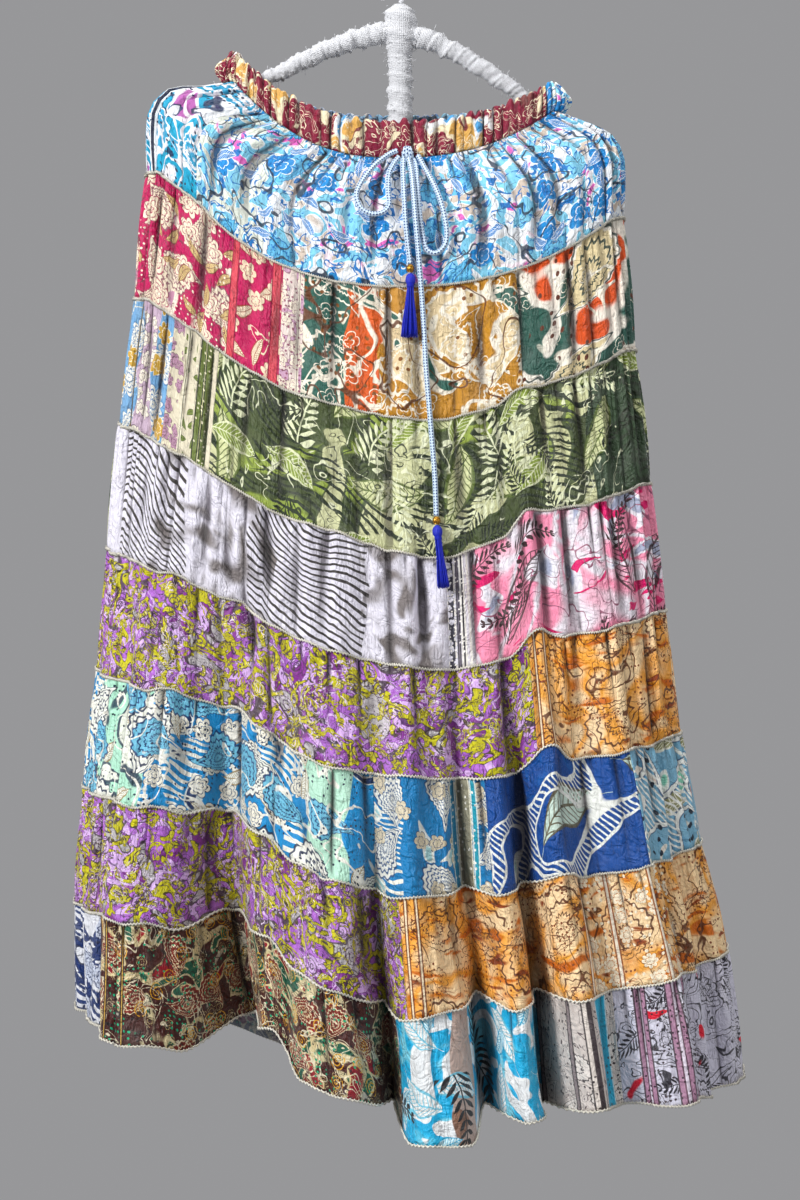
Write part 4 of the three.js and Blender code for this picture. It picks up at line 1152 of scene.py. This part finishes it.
def uneven_waves(turn, counts, seed):
    """A wave round the ring with no even beat, between about -1 and 1."""
    chance = np.random.default_rng(seed)
    total = np.zeros_like(turn)
    for count in counts:
        total += chance.uniform(0.5, 1) * np.cos(2 * np.pi * (count * turn + chance.random()))
    return total / (0.6 * len(counts) ** 0.5 * 1.4)


def crease_depth(turn, level):
    """The listed creases at one level, in millimetres."""
    total = np.zeros_like(turn)
    for crease in CREASES:
        (t0, l0), (t1, l1) = crease["from"], crease["to"]
        share = (level - l0) / (l1 - l0)
        if 0 < share < 1:
            at = t0 + (t1 - t0) * share
            fade = math.sin(math.pi * share) ** 0.7
            total += crease["depth"] * fade * np.exp(-((round_gap(turn, at) / crease["width"]) ** 2))
    return total


def facings(points):
    """The way each point faces, for a closed ring of columns."""
    around = np.roll(points, -1, axis=1) - np.roll(points, 1, axis=1)
    down = np.gradient(points, axis=0)
    facing = np.cross(down, around)
    return facing / np.linalg.norm(facing, axis=2)[:, :, None]


def soften(values, width):
    """A ring of values blurred over a width, given as a share of the ring."""
    waves = np.arange(len(values) // 2 + 1)
    return np.fft.irfft(np.fft.rfft(values) * np.exp(-2 * (np.pi * waves * width) ** 2), len(values))


def gather_lines(tier):
    """Each gather of a tier: share of the way round, depth, width and reach, and the seam it starts from."""
    chance = np.random.default_rng(200 + tier)
    lines = []
    for kind in GATHERS:
        for i in range(kind["count"]):
            lines.append((
                (i + chance.uniform(-0.45, 0.45)) / kind["count"],
                kind["depth"] * chance.uniform(0.25, 1.15),
                kind["width"] * chance.uniform(0.7, 1.4),
                kind["reach"] * chance.uniform(0.5, 1.5),
                kind["seam"] == "upper",
            ))
    return np.array(lines).T


def gather_depth(turn, lines, below, fall, ring_length):
    """How deep the gathers are on one row, in millimetres."""
    at, depth, width, reach, from_upper = lines
    away = np.where(from_upper > 0, below, fall - below)
    fade = (1 - np.exp(-away / 2.5)) * np.exp(-((away / reach) ** 1.6)) * depth
    gap = round_gap(turn[:, None], at[None]) * ring_length / width[None]
    return -(np.exp(-(gap ** 1.3)) * fade[None]).sum(axis=1)


def build_surface(settings):
    """The whole cloth's surface in millimetres, row by row, and how deep each point lies in a fold, which
    the material paints as shade.
    """
    turn = np.arange(settings.columns) / settings.columns
    levels, rows = cloth_rows(turn)
    wanted = [0.0] + [tier + row for tier in range(TIERS) for row in FINE_ROWS[1:]]
    points = refined(levels, rows, wanted)
    normals = facings(points)
    pucker, ripple = settings.pucker_depth / MM, settings.ripple_depth / MM
    upper = uneven_waves(turn, UPPER_WAVES, 2)
    lower = uneven_waves(turn, LOWER_WAVES, 3)
    puckers = [uneven_waves(turn, PUCKER_WAVES, 10 + tier) for tier in range(TIERS)]
    ripples = [uneven_waves(turn, RIPPLE_WAVES, 40 + tier) for tier in range(TIERS)]
    lines = [gather_lines(tier) for tier in range(TIERS)]
    moved, dips = [], []
    for row, level in enumerate(wanted):
        tier = min(int(level), TIERS - 1)
        fall = RINGS[tier + 1]["fall"]
        below = (level - tier) * fall
        around = np.linalg.norm(np.roll(points[row], -1, axis=0) - points[row], axis=1).sum()
        near = (1 - math.exp(-below / 3.5)) * math.exp(-below / 30)
        far = math.sin(math.pi * min(1, below / fall)) ** 0.8
        share = level / TIERS
        depth = pucker * near * puckers[tier] + ripple * far * ripples[tier] * 0.75
        depth += ripple * min(1, level / 2) * (upper * (1 - share) + lower * share) * 0.55
        depth += crease_depth(turn, level) + gather_depth(turn, lines[tier], below, fall, around)
        moved.append(points[row] + normals[row] * depth[:, None])
        whole = depth + fold_reach(turn, level)
        # The dip that the material paints as shade: how far a point lies below its neighbours blurred over
        # about 5 mm, and below the whole fold blurred over about 20 mm.
        sharp = (soften(depth, 5 / around) - depth) / 2.2
        broad = (soften(whole, 20 / around) - whole) / 26
        dips.append(np.clip(0.85 * np.clip(sharp, 0, 1) + 0.6 * np.clip(broad, 0, 1), 0, 1))
    return turn, np.array(moved), np.array(dips)


def distances(line):
    """How far along a line each of its points lies."""
    return np.concatenate([[0], np.cumsum(np.linalg.norm(np.diff(line, axis=0), axis=1))])


def flat_map(points):
    """UV in metres for a block of rows and columns: along the cloth, and down it."""
    across = np.broadcast_to(distances(points[len(points) // 2]) * MM, points.shape[:2])
    down = np.linalg.norm(np.diff(points, axis=0), axis=2)
    depth = np.concatenate([np.zeros((1, points.shape[1])), np.cumsum(down, axis=0)]) * MM
    return np.stack([across, -depth], 2)


def new_mesh_object(name, points, faces, uvs=None, **numbers):
    """A smooth mesh object at the origin, riding on the part. uvs and the named numbers are per point."""
    mesh = bpy.data.meshes.new(name)
    mesh.from_pydata([tuple(p) for p in np.asarray(points) * MM], [], faces)
    if uvs is not None:
        layer = mesh.uv_layers.new(name="cloth")
        corner = np.zeros(len(mesh.loops), np.int32)
        mesh.loops.foreach_get("vertex_index", corner)
        layer.data.foreach_set("uv", np.asarray(uvs, np.float32)[corner].ravel())
    for label, values in numbers.items():
        attribute = mesh.attributes.new(label, "FLOAT", "POINT")
        attribute.data.foreach_set("value", np.asarray(values, np.float32))
    mesh.polygons.foreach_set("use_smooth", [True] * len(mesh.polygons))
    mesh.update()
    made = bpy.data.objects.new(name, mesh)
    bpy.context.collection.objects.link(made)
    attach(made, "root")
    return made


def shell(name, points, normals, uv, dips, thickness):
    """A thin closed sheet over a block of rows and columns of points."""
    rows, columns = points.shape[:2]
    layers = [points + normals * thickness / 2, points - normals * thickness / 2]
    flat = np.concatenate([layer.reshape(-1, 3) for layer in layers])
    step = rows * columns
    faces = []
    for r in range(rows - 1):
        for c in range(columns - 1):
            a = r * columns + c
            b, d, e = a + 1, a + columns, a + columns + 1
            faces.append((a, d, e, b))
            faces.append((a + step, b + step, e + step, d + step))
    for c in range(columns - 1):
        low = (rows - 1) * columns + c
        faces.append((c, c + 1, c + 1 + step, c + step))
        faces.append((low, low + step, low + 1 + step, low + 1))
    for r in range(rows - 1):
        a, b = r * columns, (r + 1) * columns
        c, d = a + columns - 1, b + columns - 1
        faces.append((a, a + step, b + step, b))
        faces.append((c, d, d + step, c + step))
    both = np.concatenate([uv.reshape(-1, 2)] * 2)
    wrong = np.repeat([0, 1], step)
    return new_mesh_object(name, flat, faces, both, dip=np.concatenate([dips.ravel()] * 2), wrong=wrong)


def columns_between(turn, start, end):
    """The columns from one share of the way round to another."""
    first, last = (int(round(value % 1 * len(turn))) for value in (start, end))
    count = (last - first) % len(turn) + 1
    return (first + np.arange(count)) % len(turn)


# ---- Tubes ----
def circle(sides):
    """Angles evenly round a circle."""
    return 2 * np.pi * np.arange(sides) / sides


def smooth_line(points, spacing):
    """Points about a spacing apart on a soft curve through the points given."""
    given = np.array(points, float)
    padded = np.vstack([2 * given[0] - given[1], given, 2 * given[-1] - given[-2]])
    found = []
    for i in range(len(given) - 1):
        p0, p1, p2, p3 = padded[i:i + 4]
        count = max(1, int(round(np.linalg.norm(p2 - p1) / spacing)))
        for step in range(count):
            t = step / count
            found.append(
                0.5 * (2 * p1 + (p2 - p0) * t + (2 * p0 - 5 * p1 + 4 * p2 - p3) * t * t
                       + (3 * p1 - p0 - 3 * p2 + p3) * t ** 3)
            )
    return np.array(found + [given[-1]])


def tube_data(line, radius, sides, closed=False, start=0):
    """Points, faces and UV of a tube. radius is a number, one for each point, or (points, sides)."""
    line = np.asarray(line, float)
    along = np.roll(line, -1, axis=0) - np.roll(line, 1, axis=0)
    if not closed:
        along[0], along[-1] = line[1] - line[0], line[-1] - line[-2]
    along /= np.linalg.norm(along, axis=1)[:, None]
    side = np.cross(along[0], (0.31, 0.87, 0.39))
    frames = []
    for way in along:
        side = side - way * (side @ way)
        side /= np.linalg.norm(side)
        frames.append((side, np.cross(way, side)))
    angles = circle(sides)
    radius = np.asarray(radius, float)
    radii = np.broadcast_to(radius[:, None] if radius.ndim == 1 else radius, (len(line), sides))
    points = np.array([
        centre + np.outer(np.cos(angles) * r, u) + np.outer(np.sin(angles) * r, v)
        for centre, r, (u, v) in zip(line, radii, frames)
    ]).reshape(-1, 3)
    mean = float(radii.mean())
    uvs = np.array([(mean * angle * MM, d * MM) for d in distances(line) for angle in angles])
    faces = []
    rings = len(line)
    for r in range(rings if closed else rings - 1):
        for s in range(sides):
            a, b = start + r * sides + s, start + r * sides + (s + 1) % sides
            c = start + (r + 1) % rings * sides + (s + 1) % sides
            d = start + (r + 1) % rings * sides + s
            faces.append((a, b, c, d))
    if not closed:
        faces.append(tuple(start + s for s in reversed(range(sides))))
        faces.append(tuple(start + (rings - 1) * sides + s for s in range(sides)))
    return points, faces, uvs


def tubes(name, lines, radius, sides, closed=False):
    """One object from several tubes."""
    points, faces, uvs, start = [], [], [], 0
    for line in lines:
        tube_points, tube_faces, tube_uvs = tube_data(line, radius, sides, closed, start)
        points.append(tube_points)
        faces += tube_faces
        uvs.append(tube_uvs)
        start += len(tube_points)
    return new_mesh_object(name, np.vstack(points), faces, np.vstack(uvs))


def skirt_settings(context):
    """The sizes and colours of the skirt in this scene."""
    return context.scene.ruffle_skirt


# ---- Operators ----
class SKIRT_OT_stage(bpy.types.Operator):
    """Adds the camera, the lights and the pale backdrop"""

    bl_idname = "skirt.stage"
    bl_label = "Stage"

    def execute(self, context):
        scene = context.scene
        scene.view_settings.view_transform = "Standard"
        camera = bpy.data.objects.new("camera", bpy.data.cameras.new("camera"))
        camera.location = CAMERA_PLACE
        camera.rotation_euler = (math.pi / 2, 0, 0)
        camera.data.lens = CAMERA_LENS
        camera.data.sensor_width = 36
        scene.collection.objects.link(camera)
        scene.camera = camera
        self.add_backdrop(context)
        for light in LIGHTS:
            self.add_light(scene, **light)
        world = bpy.data.worlds.new("studio")
        world.use_nodes = True
        room = world.node_tree.nodes["Background"]
        room.inputs["Color"].default_value = (*to_linear(skirt_settings(context).room_colour), 1)
        room.inputs["Strength"].default_value = ROOM_STRENGTH
        scene.world = world
        return {"FINISHED"}

    def add_light(self, scene, name, place, aim, size, power):
        """A square soft light at a place, turned towards its aim."""
        light = bpy.data.objects.new(name, bpy.data.lights.new(name, "AREA"))
        light.data.size = size
        light.data.energy = power
        light.location = place
        way = np.array(aim) - np.array(place)
        down = math.acos(-way[2] / np.linalg.norm(way))
        light.rotation_euler = (down, 0, math.atan2(way[1], way[0]) - math.pi / 2)
        scene.collection.objects.link(light)

    def add_backdrop(self, context):
        """A round floor that sweeps up into a low wall, alike from every side."""
        bpy.ops.mesh.primitive_cylinder_add(
            vertices=96, radius=STAGE_RADIUS, depth=STAGE_HEIGHT,
            location=(0, 0, STAGE_FLOOR + STAGE_HEIGHT / 2),
        )
        backdrop = context.object
        backdrop.name = "backdrop"
        mesh = backdrop.data
        for face in mesh.polygons:
            face.select = face.normal.z > 0.5
        bpy.ops.object.mode_set(mode="EDIT")
        bpy.ops.mesh.delete(type="FACE")
        bpy.ops.mesh.select_mode(type="EDGE")
        bpy.ops.object.mode_set(mode="OBJECT")
        for edge in mesh.edges:
            edge.select = all(mesh.vertices[v].co.z < 0 for v in edge.vertices)
        bpy.ops.object.mode_set(mode="EDIT")
        bpy.ops.mesh.bevel(offset=STAGE_SWEEP, segments=12, affect="EDGES")
        bpy.ops.mesh.select_all(action="SELECT")
        bpy.ops.mesh.flip_normals()
        bpy.ops.object.mode_set(mode="OBJECT")
        bpy.ops.object.shade_smooth()
        bpy.ops.object.transform_apply(location=True, rotation=True, scale=True)
        bpy.ops.object.select_all(action="DESELECT")
        material, _, surface = new_material("matt_backdrop_paper")
        colour = to_linear(skirt_settings(context).backdrop_colour)
        surface.inputs["Base Color"].default_value = (*colour, 1)
        surface.inputs["Roughness"].default_value = 0.9
        mesh.materials.append(material)


class SKIRT_OT_drawstring(bpy.types.Operator):
    """Adds the braided cord's loops and tails"""

    bl_idname = "skirt.drawstring"
    bl_label = "Drawstring"

    def execute(self, context):
        settings = skirt_settings(context)
        # Braided cotton, pale with flecks of blue yarn: matt, and knobbly at the crossings.
        braid = thread_material(
            "braided_cotton_cord", settings.cord_light, 0.8, 5.464, 1.2, second=settings.cord_blue
        )
        for name, route, far_end, fittings in (
            ("left_loop", LEFT_LOOP, "object", []),
            ("right_loop", RIGHT_LOOP, "object", []),
            ("short_tail", SHORT_TAIL, "fitting", ["bead_short", "tassel_short"]),
            ("long_tail", LONG_TAIL, "fitting", ["bead_long", "tassel_long"]),
        ):
            self.add_braid(name, smooth_line(route, CORD_STEP), braid, far_end, fittings)
        return {"FINISHED"}

    def add_braid(self, name, line, braid, far_end, fittings):
        """One stretch of the cord, with the strands' crossings standing out."""
        turn = PLAIT["round"] * circle(CORD_SIDES)[None]
        along = PLAIT["along"] * CORD_STEP * np.arange(len(line))[:, None]
        plait = PLAIT["height"] * np.cos(turn + along) * np.cos(turn - along)
        piece = new_mesh_object(f"braid_{name}", *tube_data(line, CORD_RADIUS + plait, CORD_SIDES))
        piece.data.materials.append(braid)
        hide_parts(f"drawstring_{name}")


class SKIRT_OT_knot(bpy.types.Operator):
    """Adds the bow's knot"""

    bl_idname = "skirt.knot"
    bl_label = "Knot"

    def execute(self, context):
        centre, deep, high = np.array(KNOT["centre"]), KNOT["half_depth"], KNOT["half_height"]
        turn = circle(48)
        lines = []
        for lean, shift, swell in KNOT_TURNS:
            ring = np.stack([
                shift + lean * high * np.sin(turn) * 0.5,
                (deep - CORD_RADIUS) * swell * np.cos(turn),
                (high - CORD_RADIUS) * swell * np.sin(turn),
            ], 1)
            lines.append(centre + ring)
        knot = tubes("bow_knot", lines, CORD_RADIUS, 14, closed=True)
        core = [centre + (x, 0, 0) for x, _ in KNOT_CORE]
        middle = new_mesh_object("bow_knot_core", *tube_data(core, [radius for _, radius in KNOT_CORE], 14))
        braid = bpy.data.materials["braided_cotton_cord"]
        for piece in (knot, middle):
            piece.data.materials.append(braid)
        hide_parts("drawstring_knot")
        return {"FINISHED"}


class SKIRT_OT_tassels(bpy.types.Operator):
    """Adds the gilt beads and silky tassels on the cord's ends"""

    bl_idname = "skirt.tassels"
    bl_label = "Beads and tassels"

    def execute(self, context):
        settings = skirt_settings(context)
        gilt = gilt_material(settings)
        # Viscose thread, loosely twisted: smoother than cotton, so it shines a little.
        silk = thread_material("silky_thread", settings.tassel_colour, 0.5, 2.417, 0.4)
        for index, end in enumerate(ENDS):
            self.add_bead(end, gilt)
            self.add_tassel(end, silk, np.random.default_rng(70 + index))
        return {"FINISHED"}

    def add_bead(self, end, gilt):
        """A melon bead: eight lobes round a core, with a ring at each end."""
        centre = np.array(end["bead"]) * MM
        parts = []
        for angle in circle(BEAD["lobes"]):
            place = centre + np.array([math.cos(angle), math.sin(angle), 0]) * BEAD["lobe_out"] * MM
            bpy.ops.mesh.primitive_uv_sphere_add(
                segments=16, ring_count=10, radius=BEAD["lobe"] * MM, location=place
            )
            bpy.context.object.scale = (1, 1, BEAD["lobe_stretch"])
            parts.append(bpy.context.object)
        bpy.ops.mesh.primitive_uv_sphere_add(
            segments=24, ring_count=12, radius=BEAD["core"] * MM, location=centre
        )
        parts.append(bpy.context.object)
        for side in (-1, 1):
            bpy.ops.mesh.primitive_torus_add(
                major_segments=32, minor_segments=10, major_radius=BEAD["ring"] * MM,
                minor_radius=BEAD["ring_wire"] * MM,
                location=centre + np.array([0, 0, side * BEAD["ring_up"] * MM]),
            )
            parts.append(bpy.context.object)
        bpy.ops.object.select_all(action="DESELECT")
        for part in parts:
            part.select_set(True)
        bpy.context.view_layer.objects.active = parts[0]
        bpy.ops.object.join()
        bead = bpy.context.object
        bpy.ops.object.transform_apply(location=True, rotation=True, scale=True)
        bpy.ops.object.shade_smooth()
        bead.name = f"bead_{end['name']}_gilt"
        bead.data.materials.append(gilt)
        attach(bead, "root")
        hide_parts(f"bead_{end['name']}")

    def add_tassel(self, end, silk, chance):
        """Threads that hang from a wound head, with three turns of thread about its neck."""
        head, tip = np.array(end["head"]), np.array(end["tip"])
        way = tip - head
        length = np.linalg.norm(way)
        way /= length
        side = np.array([1.0, 0, 0]) - way * way[0]
        side /= np.linalg.norm(side)
        front = np.cross(way, side)
        lines = []
        for _ in range(TASSEL_THREADS):
            angle, share = chance.random() * 2 * math.pi, math.sqrt(chance.random())
            across = side * math.cos(angle) * share
            forward = front * math.sin(angle) * share
            cut = length * (0.96 + 0.05 * chance.random())
            lines.append(np.array([
                head + across * 2.2 + forward * 2.2 + way * 3.6,
                head + across * 2.9 + forward * 2.9 + way * 7.6,
                head + across * end["wide"] * 0.55 + forward * end["deep"] * 0.6 + way * length * 0.42,
                head + across * end["wide"] * 0.85 + forward * end["deep"] * 0.85 + way * length * 0.75,
                head + across * end["wide"] + forward * end["deep"] + way * cut,
            ]))
        hanks = [smooth_line(line, 5) for line in lines]
        threads = tubes(f"tassel_threads_{end['name']}", hanks, TASSEL_THREAD_RADIUS, 5)
        heights = np.linspace(-1, 1, 17)
        radii = np.sqrt(np.maximum(0.02, 1 - heights ** 2)) * TASSEL_HEAD["radius"]
        core = head + np.outer(heights * TASSEL_HEAD["half_height"], way)
        cap = new_mesh_object(f"tassel_head_{end['name']}", *tube_data(core, radii, 24))
        round_neck = np.outer(np.cos(circle(28)), side) + np.outer(np.sin(circle(28)), front)
        neck = head + way * TASSEL_HEAD["half_height"] * 0.82
        rings = [neck + way * 0.9 * i + 3.0 * round_neck for i in range(3)]
        wrap = tubes(f"tassel_collar_{end['name']}", rings, 0.5, 6, closed=True)
        for piece in (threads, cap, wrap):
            piece.data.materials.append(silk)
        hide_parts(f"tassel_{end['name']}")


class SKIRT_OT_tiers(bpy.types.Operator):
    """Adds every patch of the tiers, and the pale seams between them"""

    bl_idname = "skirt.tiers"
    bl_label = "Tiers"

    def execute(self, context):
        settings = skirt_settings(context)
        turn, points, dips = build_surface(settings)
        normals = facings(points)
        per_tier = len(FINE_ROWS) - 1
        for number, patches in enumerate(PATCHES, 1):
            rows = np.arange((number - 1) * per_tier, number * per_tier + 1)
            for index, (print_name, start) in enumerate(patches):
                end = patches[(index + 1) % len(patches)][1]
                block = np.ix_(rows, columns_between(turn, start, end))
                shift = (0, number * TIER_SHIFT + index * PATCH_SHIFT)
                name = f"{number}_{'abcdef'[index]}_{print_name}"
                flat = flat_map(points[block]) - shift
                piece = shell(
                    f"cloth_{name}", points[block], normals[block], flat, dips[block], settings.wall / MM
                )
                piece.data.materials.append(printed_satin(settings, print_name))
                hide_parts(f"tier_{name}")
        self.add_seams(settings, points[::per_tier], normals[::per_tier])
        return {"FINISHED"}

    def add_seams(self, settings, points, normals):
        """The overlock stitch along each seam and the hem: a thread with another that zigzags about it."""
        # Spun polyester overlock thread: pale, dull and slightly hairy.
        thread = thread_material("overlock_thread", settings.seam_colour, 0.75, 4.19, 0.6)
        sway = np.zeros(points.shape[1:])
        sway[:, 2] = SEAM_SWAY * np.cos(np.arange(len(sway)) * np.pi)
        for ring in range(1, TIERS + 1):
            middle = points[ring] + normals[ring]
            zigzag = middle + normals[ring] * 0.5 + sway
            seam = tubes(f"seam_{ring}", [middle, zigzag], SEAM_THREAD, 4, closed=True)
            seam.data.materials.append(thread)


class SKIRT_OT_waistband(bpy.types.Operator):
    """Adds the gathered elastic waistband"""

    bl_idname = "skirt.waistband"
    bl_label = "Waistband"

    def execute(self, context):
        settings = skirt_settings(context)
        turn = np.arange(settings.columns) / settings.columns
        place, facing = plan_points(turn, 0)
        base = waist_height(turn) + BAND_GAP
        height = BAND_HEIGHT + (BAND_END_HEIGHT - BAND_HEIGHT) * np.abs(np.cos(2 * np.pi * turn)) ** 3
        puckers = uneven_waves(turn, BAND_PUCKERS, 5)
        frill = uneven_waves(turn, BAND_FRILL, 6)
        around = np.linalg.norm(np.diff(place, axis=0), axis=1).sum()
        lines = gather_lines(40)
        crushed = np.clip((np.abs(np.cos(2 * np.pi * turn)) - 0.8) / 0.2, 0, 1) ** 2
        rows, dips = [], []
        for up in np.linspace(1, 0, BAND_LEVELS):
            channel = 1 - abs(2 * up - 1) ** 6
            stitched = sum(math.exp(-((up - line) / STITCH_WIDTH) ** 2) for line in BAND_STITCHES)
            tucks = gather_depth(turn, lines, 4, 100, around) * (0.9 - 0.4 * stitched)
            wave = puckers * (1.4 - 0.6 * stitched) + frill * 1.2 * up ** 3 + tucks
            bulge = crushed * (7 * math.sin(math.pi * up) - 9 * up ** 3)
            out = 1.6 * channel - 0.9 * stitched + wave * (1 + crushed) + bulge
            lift = frill * (1.9 + 2.2 * crushed) * up ** 4 - 3 * crushed * up ** 3
            xy = place + facing * out[:, None]
            rows.append(np.column_stack([xy, base + height * up + lift]))
            # Painted shade: the dip, which the material darkens, is deepest in the puckers' troughs and
            # along the stitch lines.
            dips.append(np.clip((soften(wave, 5 / around) - wave) / 2.2 + 0.35 * stitched, 0, 1))
        points, dips = np.array(rows), np.array(dips)
        normals = facings(points)
        for index, (name, start, print_name) in enumerate(BAND_PATCHES):
            end = BAND_PATCHES[(index + 1) % len(BAND_PATCHES)][1]
            block = np.ix_(np.arange(len(points)), columns_between(turn, start, end))
            flat = flat_map(points[block])
            piece = shell(f"casing_{name}", points[block], normals[block], flat, dips[block], BAND_WALL)
            piece.data.materials.append(printed_satin(settings, print_name))
            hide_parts(name)
        return {"FINISHED"}


class SKIRT_OT_hanger(bpy.types.Operator):
    """Adds the gauze-wrapped hanger and its hook"""

    bl_idname = "skirt.hanger"
    bl_label = "Hanger"

    def execute(self, context):
        settings = skirt_settings(context)
        # Torn strips of cotton gauze: an open plain weave, quite matt.
        gauze = thread_material("cotton_gauze", settings.gauze_colour, 0.95, 2.856, 0.8)
        chance = np.random.default_rng(9)
        for name, table, pitch in (("left", LEFT_ARM, 14), ("right", RIGHT_ARM, 14), ("stem", NECK, 18)):
            route = np.array([(x, 0, z) for x, z, _ in table])
            line = smooth_line(route, 1.5)
            given, along = distances(route), distances(line)
            base = np.interp(along / along[-1], given / given[-1], [radius for _, _, radius in table])
            relief = self.windings(along[:, None], circle(GAUZE_SIDES)[None], pitch)
            relief = relief + 0.42 * chance.standard_normal(relief.shape)
            piece = new_mesh_object(
                f"gauze_{name}", *tube_data(line, base[:, None] * 0.97 + relief, GAUZE_SIDES)
            )
            piece.data.materials.append(gauze)
            if name == "stem":
                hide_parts("hanger_frame")
            self.add_frays(name, line, base, gauze, chance)
        self.add_hook(gauze)
        return {"FINISHED"}

    def windings(self, along, angle, pitch):
        """How far the wound strip stands out: its overlaps, lumps below it and small folds."""
        wound = (along / pitch + angle / (2 * np.pi) + 0.15 * np.sin(along * 0.09)) % 1
        overlap = 2.3 * wound ** 5 - 0.9
        lumps = 1.3 * np.sin(along * 0.33 + angle) * np.sin(along * 0.11 + 2)
        folded = 0.6 * np.sin(along * 1.3 + 2 * angle) * np.sin(along * 0.21)
        return overlap + lumps + folded

    def add_frays(self, name, line, base, gauze, chance):
        """Loose threads that stand out of the gauze."""
        lines = []
        for _ in range(FRAYS):
            i = int(chance.integers(1, len(line) - 2))
            angle = chance.random() * 2 * math.pi
            out = np.array([0.3 * chance.standard_normal(), math.cos(angle), math.sin(angle)])
            if name == "stem":
                out = np.array([math.cos(angle), math.sin(angle), 0.3 * chance.standard_normal()])
            start = line[i] + out * (base[i] - 0.6)
            bend = chance.standard_normal(3) * 1.2
            lines.append(np.array([start, start + out * 1.9 + bend * 0.5, start + out * 3.2 + bend]))
        frays = tubes(f"gauze_frays_{name}", lines, FRAY_RADIUS, 4)
        frays.data.materials.append(gauze)

    def add_hook(self, gauze):
        """The wire hook, thinly wound with gauze."""
        line = smooth_line([(x, 0, z) for x, z in HOOK_LINE], 1.0)
        wound = (np.arange(len(line))[:, None] / 9.0 + np.arange(16)[None] / 16) % 1
        radii = HOOK_WIRE - 0.15 + 0.3 * wound ** 3
        hook = new_mesh_object("gauze_hook", *tube_data(line, radii, 16))
        hook.data.materials.append(gauze)
        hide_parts("hanger_hook")


OPERATORS = (
    SKIRT_OT_stage,
    SKIRT_OT_tassels,
    SKIRT_OT_drawstring,
    SKIRT_OT_knot,
    SKIRT_OT_tiers,
    SKIRT_OT_waistband,
    SKIRT_OT_hanger,
)


class SKIRT_PT_panel(bpy.types.Panel):
    """Lists the skirt's operators"""

    bl_label = "Ruffle skirt"
    bl_space_type = "VIEW_3D"
    bl_region_type = "UI"
    bl_category = "Skirt"

    def draw(self, context):
        for operator in OPERATORS:
            self.layout.operator(operator.bl_idname)


CLASSES = (SkirtSettings, *OPERATORS, SKIRT_PT_panel)


def register():
    """Makes the settings, the operators and the panel known."""
    for cls in CLASSES:
        bpy.utils.register_class(cls)
    bpy.types.Scene.ruffle_skirt = bpy.props.PointerProperty(type=SkirtSettings)


def unregister():
    """Takes the settings, the operators and the panel away again."""
    del bpy.types.Scene.ruffle_skirt
    for cls in reversed(CLASSES):
        bpy.utils.unregister_class(cls)


def main():
    """Builds the whole skirt."""
    register()
    bpy.ops.skirt.stage()
    bpy.ops.skirt.tassels()
    bpy.ops.skirt.drawstring()
    bpy.ops.skirt.knot()
    bpy.ops.skirt.tiers()
    bpy.ops.skirt.waistband()
    bpy.ops.skirt.hanger()


if __name__ == "__main__":
    main()
